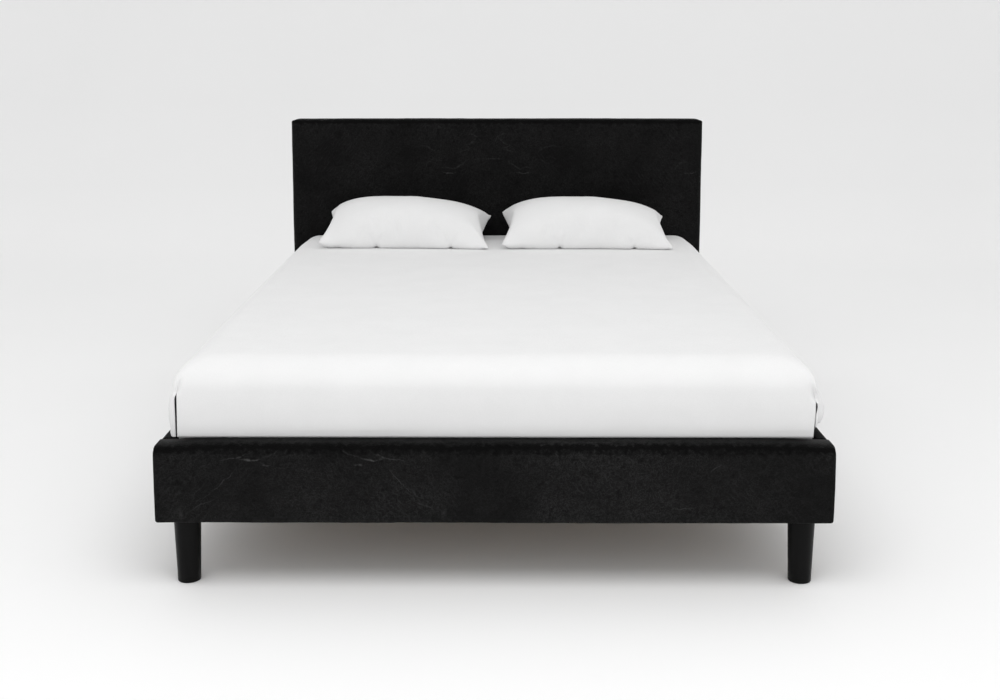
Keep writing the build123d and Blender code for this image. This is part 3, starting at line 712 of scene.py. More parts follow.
def back_cloth():
    """Dust cloth on the headboard's back, drawn tight with a hemmed edge and slight sag between staples."""
    columns, rows, corner_cells, corner_r = 90, 48, 2, 0.006
    edge = rounded_outline(columns, rows, corner_cells, -CLOTH_X, CLOTH_X, CLOTH_BASE, CLOTH_TOP, corner_r)
    rings = [np.insert(edge, 1, y, axis=1) for y in (HEAD_BACK_Y, CLOTH_Y)]
    piece = ringed_solid("headboard_back_cloth_sheet", columns, rows, rings, BACKING)
    for vertex in piece.data.vertices:
        x, y, z = vertex.co
        inner = min(CLOTH_X - abs(x), z - CLOTH_BASE, CLOTH_TOP - z)
        if inner > HEM_WIDTH and y > (HEAD_BACK_Y + CLOTH_Y) / 2:
            vertex.co.y = y - CLOTH_SAG - CLOTH_RIPPLE * noise.noise(Vector((x, 0, z)) * RIPPLE_SCALE)
    piece.data.update()
    return piece


# Bedding
COVER_THICKNESS = 0.004
TOP_RADIUS = 0.075
TUCK_GAP = 0.0015
SIDE_TUCK = INNER_X - TUCK_GAP
FOOT_TUCK = -FOOT_BACK_Y - TUCK_GAP
HEAD_TUCK = HEAD_FRONT_Y - TUCK_GAP
SIDE_BULGE = COVER_X - SIDE_TUCK
FOOT_BULGE = 0.012
SIDE_SHOULDER, FOOT_SHOULDER = 0.25, 0.75
FOOT_FLARE = 0.003
FLARE_RISE = 0.02
BULGE_HEIGHT = 0.046
TURN = 0.0115
FOOT_GAP = 0.001
SIDE_SHELF = RAIL_TOP + TUCK_GAP
FOOT_SHELF = RAIL_TOP + FOOT_TOP_SWELL + FOOT_GAP
# Cells down a flap: round its top edge, over its swell, under that, round its turn and down its tuck
TOP_CELLS, SWELL_CELLS, UNDER_CELLS, TURN_CELLS, TUCK_CELLS = 12, 26, 2, 6, 4

# Open foot corners, left and right: the front flap's edge, the slit's top and gap, the side flap's flare,
# the height of its hem and the share of its swell kept there, and how far the front flap's edge leans in
CORNERS = {
    -1: {"radius": 0.0101, "top": 0.472, "gap": (0.0062, 0.0058), "flare": 0.53, "hem": 0.3575,
         "keep": 0.82, "lean": 0.0},
    1: {"radius": 0.0015, "top": 0.455, "gap": (0.0062, 0.0012), "flare": 0.74, "hem": 0.384,
        "keep": 0.45, "lean": 0.004},
}
HEM_HINGE = 0.44
HEM_RUN = (0.012, 0.1)
HEAD_ROUND = 0.016
BLUNT_RUN = 0.02
HEM_SMOOTH = 0.02
TOP_CORNER = 0.042
HEAD_CORNER = 0.012
# Runs in which a side flap swells: at the slit, on along the rail, and towards the headboard
SLIT_SWELL, RAIL_SWELL, HEAD_SWELL = (-0.012, 0.022), (0.05, 0.6), (0.02, 0.14)
# How a slit opens: the height in which it does, the height in which its gap changes and its edge hangs free,
# how far the side flap's edge stands behind the front flap's, and behind its widest where it hangs free
SLIT_OPENING, GAP_CHANGE, HANG_RISE = 0.026, 0.035, 0.05
SLIT_BEHIND, HANG_BEHIND = 0.0025, 0.004
# How the front flap's edge leans in: from what height, in what height, and how far along the flap
LEAN_TOP, LEAN_RISE, LEAN_RUN = 0.43, 0.07, 0.12
# A pinch above each slit: its depth, half width, slope, rise below and above the slit's top, and reach
PINCH_DEPTH, PINCH_WIDTH, PINCH_SLOPE = 0.011, 0.0055, 0.29
PINCH_START, PINCH_END, PINCH_REACH = (-0.012, 0.0), (0.006, 0.04), 0.03


def arc_through(start, middle, end, count):
    """Points on the circle through three points, from the first to the last."""
    (ax, ay), (bx, by), (cx, cy) = start, middle, end
    d = 2 * (ax * (by - cy) + bx * (cy - ay) + cx * (ay - by))
    sa, sb, sc = ax * ax + ay * ay, bx * bx + by * by, cx * cx + cy * cy
    ux = (sa * (by - cy) + sb * (cy - ay) + sc * (ay - by)) / d
    uy = (sa * (cx - bx) + sb * (ax - cx) + sc * (bx - ax)) / d
    radius = math.hypot(ax - ux, ay - uy)
    first, last = math.atan2(ay - uy, ax - ux), math.atan2(cy - uy, cx - ux)
    if last > first:
        last -= 2 * math.pi
    angles = np.linspace(first, last, count)
    return [(ux + radius * math.cos(a), uy + radius * math.sin(a)) for a in angles]


def flap_profile(swelling, shelf, shoulder_share, flare=0.0):
    """Offset outwards and height down one hanging side, from the flat top to the tucked hem."""
    shoulder = (swelling * shoulder_share, COVER_TOP - TOP_RADIUS)
    points = []
    for angle in np.linspace(0, QUARTER, TOP_CELLS + 1):
        out = -TOP_RADIUS + (TOP_RADIUS + shoulder[0]) * math.sin(angle)
        points.append((out, COVER_TOP - TOP_RADIUS * (1 - math.cos(angle))))
    turn_low = shelf - TURN
    if swelling:
        under = (TURN + swelling) / 2
        widest = (swelling, RAIL_TOP + BULGE_HEIGHT)
        for out, level in arc_through(shoulder, widest, (under, shelf), SWELL_CELLS + 1)[1:]:
            points.append((out + flare * float(smooth_step(widest[1] + FLARE_RISE, shelf, level)), level))
        under += flare
        points += [(out, shelf) for out in np.linspace(under, TURN, UNDER_CELLS + 1)[1:]]
        for angle in np.linspace(0, QUARTER, TURN_CELLS + 1)[1:]:
            points.append((TURN * (1 - math.sin(angle)), turn_low + TURN * math.cos(angle)))
    else:
        cells = SWELL_CELLS + UNDER_CELLS + TURN_CELLS
        points += [(0.0, z) for z in np.linspace(shoulder[1], turn_low, cells + 1)[1:]]
    points += [(0.0, z) for z in np.linspace(turn_low, COVER_HEM, TUCK_CELLS + 1)[1:]]
    return np.array(points)


def cover_ring(k, profiles, columns, rows, corner_cells):
    """One level of the coverlet: its outline, swollen over the rails, with loose hems near the slits."""
    plain, side, foot = (profile[k] for profile in profiles)
    offset, height = plain
    sine, cosine = 1 + offset / TOP_RADIUS, max(1 - (COVER_TOP - height) / TOP_RADIUS, 0.0)
    lift = np.clip(-offset / TOP_RADIUS, 0, 1)
    radii = [corner["radius"] + (TOP_CORNER - corner["radius"]) * lift for corner in CORNERS.values()]
    head = HEAD_TUCK - HEAD_ROUND * (1 - min(sine, 1.0))
    edge = rounded_outline(
        columns, rows, corner_cells,
        -SIDE_TUCK - offset, SIDE_TUCK + offset, -FOOT_TUCK - offset, head,
        (*radii, HEAD_CORNER, HEAD_CORNER),
    )
    below = max(COVER_TOP - TOP_RADIUS - height, 0) / (COVER_TOP - TOP_RADIUS - COVER_HEM)
    ring = np.insert(edge, 2, height, axis=1)
    for index, (i, j) in enumerate(outline_order(columns, rows)):
        x, y = edge[index]
        if i in (0, columns) and corner_cells <= j < rows - corner_cells:
            corner = CORNERS[-1 if i == 0 else 1]
            from_foot = y + FOOT_TUCK
            share = corner["flare"] * smooth_step(*SLIT_SWELL, from_foot)
            share += (1 - corner["flare"]) * smooth_step(*RAIL_SWELL, from_foot)
            share *= smooth_step(*HEAD_SWELL, HEAD_TUCK - y)
            tucked = plain + (side - plain) * share
            near = 1 - smooth_step(*HEM_RUN, from_foot)
            out, level = tucked + (loose_hem(*tucked, share * SIDE_BULGE, corner) - tucked) * near
            ring[index, 0] = math.copysign(SIDE_TUCK + out, x)
            ring[index, 2] = level
        elif j == 0 and corner_cells <= i <= columns - corner_cells:
            out, level = foot
            ring[index, 1] = -FOOT_TUCK - out
            ring[index, 2] = level
        elif j >= rows - corner_cells:
            across = min(max(abs(x) - (SIDE_TUCK - TOP_RADIUS), 0), TOP_RADIUS)
            shoulder = TOP_RADIUS - math.sqrt(TOP_RADIUS ** 2 - across ** 2)
            from_side = SIDE_TUCK + min(offset, 0) - abs(x)
            blunt = HEAD_ROUND * (1 - cosine) * smooth_step(0.0, BLUNT_RUN, from_side)
            brow = COVER_TOP - shoulder - blunt
            ring[index, 2] = brow + (COVER_HEM - brow) * below
    return ring


def loose_hem(out, level, swell_out, corner):
    """Where a side flap's point goes near the corner: its hem stands on or off the rail, folded under."""
    if level > HEM_HINGE:
        return np.array([out, level])
    kept = corner["keep"] * swell_out
    if level > SIDE_SHELF:
        down = (HEM_HINGE - level) / (HEM_HINGE - SIDE_SHELF)
        widest = level > RAIL_TOP + BULGE_HEIGHT
        return np.array([out if widest else max(out, kept), HEM_HINGE - (HEM_HINGE - corner["hem"]) * down])
    under = (SIDE_SHELF - level) / (SIDE_SHELF - COVER_HEM)
    return np.array([kept * (1 - under), corner["hem"]])


def wrap_corner(ring, sign, loop, columns, corner_cells):
    """Turns the side flap's front edge round the mattress corner, from the slit to its side run."""
    corner = CORNERS[sign]
    steps = 2 * corner_cells
    if sign < 0:
        slit = corner_cells
        path = [(slit - t) % loop for t in range(steps + 1)]
    else:
        slit = columns - corner_cells
        path = [slit + t for t in range(steps + 1)]
    height = ring[slit, 2]
    opening = smooth_step(0.0, SLIT_OPENING, corner["top"] - height)
    upper, lower = corner["gap"]
    gap = upper + (lower - upper) * smooth_step(0.0, GAP_CHANGE, HEM_HINGE - ring[path[-1], 2])
    start = ring[slit] + np.array([sign * gap, SLIT_BEHIND, 0.0]) * opening
    hung = smooth_step(0.0, HANG_RISE, HEM_HINGE - height)
    start[1] += (-FOOT_TUCK - FOOT_BULGE + HANG_BEHIND - start[1]) * hung
    start[2] = ring[path[-1], 2] * opening + height * (1 - opening)
    end = ring[path[-1]].copy()
    for t in range(1, steps):
        turn = QUARTER * t / steps
        shares = np.array([math.sin(turn), 1 - math.cos(turn), t / steps])
        ring[path[t]] = start + (end - start) * shares
    front = np.arange(corner_cells, columns - corner_cells + 1)
    beside = 1 - smooth_step(0.0, LEAN_RUN, SIDE_TUCK - sign * ring[front, 0])
    ring[front, 0] -= sign * corner["lean"] * beside * smooth_step(0.0, LEAN_RISE, LEAN_TOP - ring[front, 2])
    return slit, start if opening > 0 else None


def coverlet():
    """Split-corner coverlet: top panel and four flaps that swell over the rails and tuck in beside them."""
    columns, rows, corner_cells = 108, 136, 4
    profiles = (
        flap_profile(0, SIDE_SHELF, SIDE_SHOULDER),
        flap_profile(SIDE_BULGE, SIDE_SHELF, SIDE_SHOULDER),
        flap_profile(FOOT_BULGE, FOOT_SHELF, FOOT_SHOULDER, FOOT_FLARE),
    )
    loop = len(outline_order(columns, rows))
    rings = [cover_ring(k, profiles, columns, rows, corner_cells) for k in range(len(profiles[0]))]
    top = fill_panel(columns, rows, rings[0]).reshape(-1, 3)
    vertices = [top]
    faces = panel_faces(columns, rows)
    previous = panel_edge_indices(columns, rows)
    previous_twin = {}
    total = len(top)
    for ring in rings[1:]:
        twins = {}
        slits = [(sign, *wrap_corner(ring, sign, loop, columns, corner_cells)) for sign in (-1, 1)]
        current = list(range(total, total + loop))
        vertices.append(ring)
        total += loop
        for sign, slit, twin in slits:
            if twin is not None:
                vertices.append(twin[None])
                twins[slit] = total
                total += 1
        side_cells = {slits[0][1]: slits[0][1] - 1, slits[1][1]: slits[1][1]}
        for c in range(loop):
            d = (c + 1) % loop
            corners = []
            for index, old, fresh in ((c, previous, previous_twin), (d, previous, previous_twin),
                                      (d, current, twins), (c, current, twins)):
                on_side = index in fresh and side_cells[index] == c
                corners.append(fresh[index] if on_side else old[index])
            faces.append(tuple(corners))
        previous, previous_twin = current, twins
    piece = solid_object("coverlet_cloth", np.concatenate(vertices), faces, COVER_CLOTH)

    def settle(points, normals, rise):
        x, y, z = points.T
        rise = np.where(z < RAIL_TOP + HEM_SMOOTH, 0, rise)
        rise = np.where(normals[:, 1] > LEANS, np.minimum(rise, 0), rise)
        for sign, corner in CORNERS.items():
            across = x - sign * (SIDE_TUCK - corner["radius"])
            above = z - corner["top"]
            pinch = hump(across, -sign * PINCH_SLOPE * above, PINCH_WIDTH)
            pinch *= smooth_step(*PINCH_START, above) * (1 - smooth_step(*PINCH_END, above))
            rise = rise - np.where(y < -FOOT_TUCK + PINCH_REACH, PINCH_DEPTH * pinch, 0)
        return rise

    crumple(piece, [(2.6, 0.0012, 11), (9.0, 0.0003, 12)], settle)
    thick = piece.modifiers.new("cloth thickness", "SOLIDIFY")
    thick.thickness = COVER_THICKNESS
    thick.offset = -1.0
    return piece


# How far the padded mattress stands off the slats and under the cover
BASE_CLEAR = 0.0002
TOP_CLEAR = 0.0008
MATTRESS_CELLS = 60, 80, 6
MATTRESS_CORNER, LEAST_CORNER = 0.075, 0.01
MATTRESS_BASE_ROUND = 0.012
MATTRESS_TOP_ROUND = 0.066
# The head end stands upright, so its top edge draws in less
HEAD_SHARE = 0.25
TAPE_RADIUS = 0.0035
TAPE_CORNER = 0.07
TAPE_INSET = TAPE_RADIUS + 0.0006


def mattress_outline(inset, head_inset, radius):
    columns, rows, corner_cells = MATTRESS_CELLS
    return rounded_outline(
        columns, rows, corner_cells,
        -MATTRESS_X + inset, MATTRESS_X - inset, MATTRESS_FOOT + inset, MATTRESS_HEAD - head_inset, radius,
    )


def mattress():
    """Foam mattress: charcoal border, softened edges."""
    base, top = MATTRESS_BASE + BASE_CLEAR, MATTRESS_TOP - TOP_CLEAR
    rings = []
    for inset, z in eased_levels(base, top, MATTRESS_BASE_ROUND, MATTRESS_TOP_ROUND, (4, 8, 8)):
        edge = mattress_outline(inset, HEAD_SHARE * inset, max(MATTRESS_CORNER - inset, LEAST_CORNER))
        rings.append(np.insert(edge, 2, z, axis=1))
    columns, rows, _ = MATTRESS_CELLS
    piece = ringed_solid("mattress_padded", columns, rows, rings, TICKING)
    crumple(piece, [(8.0, 0.0008, 15)], lambda points, normals, rise: np.minimum(rise, 0))
    return piece


def tape_edge():
    """Sewn tape round the mattress's lower edge."""
    z = MATTRESS_BASE + BASE_CLEAR + MATTRESS_BASE_ROUND
    edge = mattress_outline(TAPE_INSET, TAPE_INSET, TAPE_CORNER)
    tangent = np.roll(edge, -1, axis=0) - np.roll(edge, 1, axis=0)
    tangent /= np.linalg.norm(tangent, axis=1, keepdims=True)
    outward = np.stack([tangent[:, 1], -tangent[:, 0]], axis=1)
    points = []
    sides = 10
    for angle in np.linspace(0, 2 * math.pi, sides, endpoint=False):
        across = edge + outward * TAPE_RADIUS * math.cos(angle)
        points.append(np.insert(across, 2, z + TAPE_RADIUS * math.sin(angle), axis=1))
    faces = strip_faces(sides, len(edge), True, looped=True)
    return solid_object("mattress_tape_edge", np.concatenate(points), faces, BACKING)


PILLOW_WIDTH = 0.620
PILLOW_DEPTH = 0.340
PILLOW_RISE = 0.085
PILLOW_DRAW = 0.012
PILLOW_PLUMP = 1.2
PILLOW_TILT = 0.2421
PILLOW_ROLL = 0.0092
PILLOW_TWIST = 0.0055
PILLOW_CLEAR = 0.0012
PILLOW_COLUMNS, PILLOW_ROWS = 64, 40
# How squarely the empty case's dome falls to its side and end seams
DOME_SIDE, DOME_END = 0.6, 0.55
# Each pillow's middle, its turn about the upright and the lift of its front left corner
PILLOW_PLACES = {
    "pillow_left": ((-0.3397, 0.8047, 0.5965), -0.030, 0.009),
    "pillow_right": ((0.3325, 0.7938, 0.5965), -0.001, 0.005),
}
TIP_ACROSS, TIP_BACK = 0.1, 0.25
# Fuller stretches along a pillow's top: rise, middle and half width, the last two as shares of half its width
PILLOW_FULLER = ((0.0105, -0.64, 0.34), (0.0045, 0.7, 0.28))
FULLER_FRONT, FULLER_BACK = (-0.8, 0.2), (0.8, 1.0)
FRONT_POINT, BACK_POINT = 0.009, 0.005
# Tucks in the front seam, with two small folds that lean away above each
PILLOW_TUCKS = (-0.32, 0.565)
TUCK_WIDTH, TUCK_RUN, TUCK_DEPTH, TUCK_REACH = 0.0075, 0.009, 0.024, 0.06
FOLD_LEANS = (-0.55, 0.5)
FOLD_DEPTH, FOLD_WIDTH, FOLD_FOOT, FOLD_HEIGHT, FOLD_RUN = 0.0034, 0.005, 0.01, 0.036, 0.016
# How firmly the case's seam is held while it fills: at its corners, along its sides, along its front and back
HOLD_CORNER, HOLD_SIDE, HOLD_FRONT = 1.0, 0.05, 0.4
FILL_STEPS = 20
FILL = {
    "quality": 6, "mass": 0.3, "use_pressure": True, "uniform_pressure_force": 2.5, "shrink_min": -0.03,
    "tension_stiffness": 15.0, "compression_stiffness": 15.0, "shear_stiffness": 5.0,
    "tension_damping": 5.0, "compression_damping": 5.0, "shear_damping": 5.0, "air_damping": 1.0,
    "bending_stiffness": 0.6, "bending_damping": 0.5, "vertex_group_mass": "hold", "pin_stiffness": 1.0,
}


def pillow_case():
    """Flat-seamed case of two domed panels, ready to fill; returns its vertices, faces and seam indices."""
    u = np.linspace(-1, 1, PILLOW_COLUMNS + 1)
    v = np.linspace(-1, 1, PILLOW_ROWS + 1)
    gu, gv = np.meshgrid(u, v, indexing="ij")
    x = gu * (PILLOW_WIDTH / 2 - PILLOW_DRAW * (1 - gv ** 2))
    y = gv * (PILLOW_DEPTH / 2 - PILLOW_DRAW * (1 - gu ** 2))
    dome = (1 - gu ** 2) ** DOME_SIDE * (1 - gv ** 2) ** DOME_END * PILLOW_RISE
    upper = np.stack([x, y, dome], axis=2).reshape(-1, 3)
    seam = panel_edge_indices(PILLOW_COLUMNS, PILLOW_ROWS)
    inner = sorted(set(range(len(upper))) - set(seam))
    below = {index: index for index in seam}
    below.update({index: len(upper) + k for k, index in enumerate(inner)})
    faces = panel_faces(PILLOW_COLUMNS, PILLOW_ROWS)
    faces += [tuple(below[index] for index in face[::-1]) for face in faces]
    return np.concatenate([upper, upper[inner] * (1, 1, -1)]), faces, seam


def refined(trial):
    """The vertices and faces of a trial piece, its cells halved; the piece itself is taken away."""
    halves = trial.modifiers.new("halves", "SUBSURF")
    halves.levels = halves.render_levels = 1
    result = trial.evaluated_get(bpy.context.evaluated_depsgraph_get()).data
    points = np.empty(len(result.vertices) * 3)
    result.vertices.foreach_get("co", points)
    faces = [tuple(face.vertices) for face in result.polygons]
    mesh = trial.data
    bpy.data.objects.remove(trial)
    bpy.data.meshes.remove(mesh)
    return points.reshape(-1, 3), faces


def filled_pillow():
    """The case blown up by a cloth simulation, held softly along its front and back seams."""
    vertices, faces, seam = pillow_case()
    trial = mesh_object("pillow_trial", vertices, faces, PILLOW_CLOTH)
    hold = trial.vertex_groups.new(name="hold")
    for index in seam:
        column, row = divmod(index, PILLOW_ROWS + 1)
        on_side, on_end = column in (0, PILLOW_COLUMNS), row in (0, PILLOW_ROWS)
        strength = HOLD_CORNER if on_side and on_end else HOLD_SIDE if on_side else HOLD_FRONT
        hold.add([index], strength, "REPLACE")
    cloth = trial.modifiers.new("fill", "CLOTH")
    for key, value in FILL.items():
        setattr(cloth.settings, key, value)
    cloth.settings.effector_weights.gravity = 0.0
    cloth.collision_settings.use_collision = False
    cloth.point_cache.frame_start, cloth.point_cache.frame_end = 1, FILL_STEPS
    scene = bpy.context.scene
    for step in range(1, FILL_STEPS + 1):
        scene.frame_set(step)
    form = refined(trial)
    scene.frame_set(1)
    return form


def pillow(name, form, faces):
    """A filled pillow leaning on the headboard, its front seam on the cover with two small tucks."""
    place, yaw, tip = PILLOW_PLACES[name]
    local = form.copy()
    u, v = local[:, 0] / (PILLOW_WIDTH / 2), local[:, 1] / (PILLOW_DEPTH / 2)
    upper = local[:, 2] > 0
    local[:, 2] *= np.where(upper, PILLOW_PLUMP, 1.0)
    fuller = sum(rise * hump(u, *spot) for rise, *spot in PILLOW_FULLER)
    fuller *= smooth_step(*FULLER_FRONT, v) * (1 - smooth_step(*FULLER_BACK, v))
    fuller *= 1 - np.clip(np.abs(u), 0, 1) ** 8
    local[:, 2] += np.where(upper, fuller, 0)
    point = np.where(v > 0, BACK_POINT, FRONT_POINT) * (np.abs(u) * np.abs(v)).clip(0, 1) ** 9
    local[:, 0] += np.sign(u) * point
    local[:, 1] += np.sign(v) * point
    turn = np.array(Euler((PILLOW_TILT, PILLOW_ROLL, yaw)).to_matrix())
    turned = local @ turn.T + np.array(place)
    turned[:, 2] -= PILLOW_TWIST * u * (v + 1) / 2
    turned[:, 2] = np.maximum(turned[:, 2], COVER_TOP + PILLOW_CLEAR)
    turned[:, 2] += tip * hump(u, -1.0, TIP_ACROSS) * hump(v, -1.0, TIP_BACK)
    up = turned[:, 2] - COVER_TOP
    for centre in PILLOW_TUCKS:
        across = (u - centre) * PILLOW_WIDTH / 2
        column = np.abs(across) < 2 * TUCK_WIDTH
        behind = turned[:, 1] - turned[column, 1].min()
        push = TUCK_DEPTH * hump(across, 0, TUCK_WIDTH) * hump(up, 0, TUCK_RUN)
        for lean in FOLD_LEANS:
            fold = hump(across, lean * (up - FOLD_FOOT), FOLD_WIDTH) * hump(up, FOLD_HEIGHT, FOLD_RUN)
            push += FOLD_DEPTH * fold
        turned[:, 1] += np.where(behind < TUCK_REACH, push, 0)
    return solid_object(name + "_padded", turned, faces, PILLOW_CLOTH)


# Turned legs
LEG_FOOT_RADIUS = 0.0275
GLIDE_EDGE = 0.0222
# A rim round the glide: its lowest height, its edges' rounding, and its radius at three heights, going up
RIM_LOW, RIM_ROUND = 0.0008, 0.0004
RIM_FLAT, RIM_RADIUS, RIM_TOP_RADIUS = 0.0262, 0.0272, 0.0277
# The taper's first ring above the floor and its last below the top
TAPER_START, TAPER_END = 0.03, 0.003
# How far the eased top edge starts below the top, and how far it draws in there and at the top
TOP_EASE, EASE_START, EASE_END = 0.0008, 0.00025, 0.00095


def turned_leg(node):
    """A tapered leg with an eased top edge and a thin rim round its glide."""
    low, high = node_box(node)
    x, y = (low[0] + high[0]) / 2, (low[1] + high[1]) / 2
    base, top, top_radius = low[2], high[2], (high[0] - low[0]) / 2
    outline = [(GLIDE_EDGE, base), (GLIDE_EDGE, RIM_LOW + RIM_ROUND), (GLIDE_EDGE + RIM_ROUND, RIM_LOW)]
    outline += [(RIM_FLAT, RIM_LOW), (RIM_RADIUS, RIM_LOW + RIM_ROUND), (RIM_TOP_RADIUS, base)]
    for z in np.linspace(TAPER_START, top - TAPER_END, 8):
        outline.append((LEG_FOOT_RADIUS + (top_radius - LEG_FOOT_RADIUS) * z / top, z))
    outline += [(top_radius - EASE_START, top - TOP_EASE), (top_radius - EASE_END, top)]
    sides = 64
    vertices = []
    for radius, z in outline:
        for angle in np.linspace(0, 2 * math.pi, sides, endpoint=False):
            vertices.append((x + radius * math.cos(angle), y + radius * math.sin(angle), z))
    faces = strip_faces(len(outline), sides, True)
    for ring, z in ((0, base), (len(outline) - 1, top)):
        faces += [(ring * sides + s, ring * sides + (s + 1) % sides, len(vertices)) for s in range(sides)]
        vertices.append((x, y, z))
    return solid_object(node + "_turned", np.array(vertices), faces, LACQUER)


# Screws and staples
HEAD_RADIUS = 0.004
HEAD_CELLS = 8
# A cross recess: half its slots' width and length as shares of the head's radius, and the heights of
# its floor, of the head's rim and of the dome above that
SLOT_WIDTH, SLOT_LENGTH = 0.15, 0.65
SLOT_FLOOR, HEAD_RIM, HEAD_DOME = 0.00003, 0.00006, 0.00014
HEAD_DEPTH = 0.6 * HEAD_RADIUS
STAPLE_CROWN = 0.010
STAPLE_LEG = 0.004
STAPLE_WIRE = 0.0005
STAPLE_BEND = 0.0012
STAPLE_INSET = 0.007
STAPLE_START = 0.03
STAPLES_ACROSS, STAPLES_UP = 28, 15


def repeated(shapes, faces):
    """The vertices and faces of many shapes that share one list of faces."""
    count = len(shapes[0])
    joined = [tuple(v + k * count for v in face) for k in range(len(shapes)) for face in faces]
    return np.concatenate(shapes), joined


def screw_heads(name, places, facing, across):
    """Countersunk cross-recess heads as one piece, each at its place, all facing one way."""
    facing, across = np.array(facing, float), np.array(across, float)
    up = np.cross(facing, across)
    steps = np.linspace(-1, 1, HEAD_CELLS + 1)
    a, b = (grid.ravel() for grid in np.meshgrid(steps, steps, indexing="ij"))
    x, y = a * np.sqrt(1 - b * b / 2), b * np.sqrt(1 - a * a / 2)
    near, far = np.sort(np.abs([x, y]), axis=0)
    slot_here = (near < SLOT_WIDTH) & (far < SLOT_LENGTH)
    rise = np.where(slot_here, SLOT_FLOOR, HEAD_RIM + HEAD_DOME * (1 - x * x - y * y))
    head = HEAD_RADIUS * (np.outer(x, across) + np.outer(y, up)) + np.outer(rise, facing)
    head = np.vstack([head, -HEAD_DEPTH * facing])
    rim = panel_edge_indices(HEAD_CELLS, HEAD_CELLS)
    one = panel_faces(HEAD_CELLS, HEAD_CELLS)
    one += [(rim[k - 1], rim[k], len(head) - 1) for k in range(len(rim))]
    return solid_object(name, *repeated([head + np.array(place) for place in places], one), ZINC)


def staples():
    """Wire staples driven through the back cloth's hem all round, as one piece."""
    half, low_z, high_z = CLOTH_X - STAPLE_INSET, CLOTH_BASE + STAPLE_INSET, CLOTH_TOP - STAPLE_INSET
    end = -STAPLE_CROWN / 2
    path = [(end, -STAPLE_LEG), (end, -STAPLE_BEND), (end + STAPLE_BEND, 0.0)]
    path = np.array(path + [(-t, n) for t, n in reversed(path)])
    heading = np.gradient(path, axis=0)
    heading /= np.linalg.norm(heading, axis=1, keepdims=True)
    sides = 8
    wire = []
    for (t, n), (dt, dn) in zip(path, heading):
        for angle in np.linspace(0, 2 * math.pi, sides, endpoint=False):
            across, aside = STAPLE_WIRE * math.cos(angle), STAPLE_WIRE * math.sin(angle)
            wire.append((t - dn * across, n + dt * across, aside))
    lying = np.array(wire)
    standing = lying[:, ::-1]
    shapes = []
    for z in (low_z, high_z):
        run = np.linspace(-half + STAPLE_START, half - STAPLE_START, STAPLES_ACROSS)
        shapes += [lying + (x, CLOTH_Y, z) for x in run]
    for x in (-half, half):
        run = np.linspace(low_z + STAPLE_START, high_z - STAPLE_START, STAPLES_UP)
        shapes += [standing + (x, CLOTH_Y, z) for z in run]
    faces = strip_faces(len(path), sides, True)
    faces += [tuple(range(sides)), tuple(range((len(path) - 1) * sides, len(path) * sides))]
    return solid_object("back_cloth_staples", *repeated(shapes, faces), ZINC)


# Pieces on their bodies
def stand_for(piece, body, *nodes, slot=None):
    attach(piece, body)
    if nodes:
        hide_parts(*nodes)
    return piece


foot_leather = stand_for(foot_rail(), "frame", "foot_rail_cover", slot="black_leather")
for sign, hand in ((-1, "left"), (1, "right")):
    rail = side_rail(sign, f"side_rail_leather_{hand}")
    stand_for(rail, "frame", f"side_rail_cover_{hand}", slot="black_leather")
head_leather = stand_for(headboard(), "frame", "headboard_cover", slot="black_leather")
dust_cloth = stand_for(back_cloth(), "frame", "headboard_back_cloth", slot="back_cloth")
stand_for(staples(), "frame", slot="zinc_steel")
LEGS = [f"leg_{end}_{hand}" for end in ("front", "rear") for hand in ("left", "right")]
for node in LEGS:
    stand_for(turned_leg(node), "frame", node, slot="black_leg")

# Screw holes: how far they lie in from the edges of the leg plates and of the beam hangers' flanges
PLATE_INSET = 0.008
HANGER_INSET_X, HANGER_INSET_Z = 0.012, 0.016
HANGER_STEEL = 0.003
# Where a slat's two screws lie across its width
SCREW_SHARES = (0.25, 0.75)


def middle_and_half(node):
    low, high = np.array(node_box(node))
    return (low + high) / 2, (high - low) / 2


def add_screws(name, places, facing):
    stand_for(screw_heads(name, places, facing, (1, 0, 0)), "frame", slot="zinc_steel")


ledge_x = middle_and_half("slat_ledge_right")[0][0]
slat_places = []
for node in sorted(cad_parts):
    if fnmatch(node, SLATS):
        (_, low_y, _), (_, high_y, top) = node_box(node)
        spots = [low_y + share * (high_y - low_y) for share in SCREW_SHARES]
        slat_places += [(x, y, top) for x in (-ledge_x, ledge_x) for y in spots]
add_screws("slat_screws", slat_places, (0, 0, 1))
plates_low, plates_high = node_box("leg_plates")
plate_places = []
for node in LEGS:
    (x, y, _), _ = middle_and_half(node)
    hole_x = plates_high[0] - abs(x) - PLATE_INSET
    hole_y = (plates_high[1] - y if y > 0 else y - plates_low[1]) - PLATE_INSET
    plate_places += [(x + dx, y + dy, plates_low[2]) for dx in (-hole_x, hole_x) for dy in (-hole_y, hole_y)]
add_screws("leg_plate_screws", plate_places, (0, 0, -1))
for end, wall, facing in (("foot", FOOT_BACK_Y + HANGER_STEEL, 1), ("head", HEAD_FRONT_Y - HANGER_STEEL, -1)):
    (_, _, z), (half_x, _, half_z) = middle_and_half(f"beam_hanger_{end}")
    hole_x, hole_z = half_x - HANGER_INSET_X, half_z - HANGER_INSET_Z
    holes = [(x, wall, z + dz) for x in (-hole_x, hole_x) for dz in (-hole_z, hole_z)]
    add_screws(f"beam_hanger_{end}_screws", holes, (0, facing, 0))

mattress_piece = stand_for(mattress(), "mattress", "mattress", slot="mattress_ticking")
stand_for(tape_edge(), "mattress", slot="back_cloth")
cover = stand_for(coverlet(), "mattress", "coverlet", slot="white_coverlet")
pillow_form = filled_pillow()
for name in PILLOW_PLACES:
    cushion = stand_for(pillow(name, *pillow_form), name, name, slot="white_pillow")

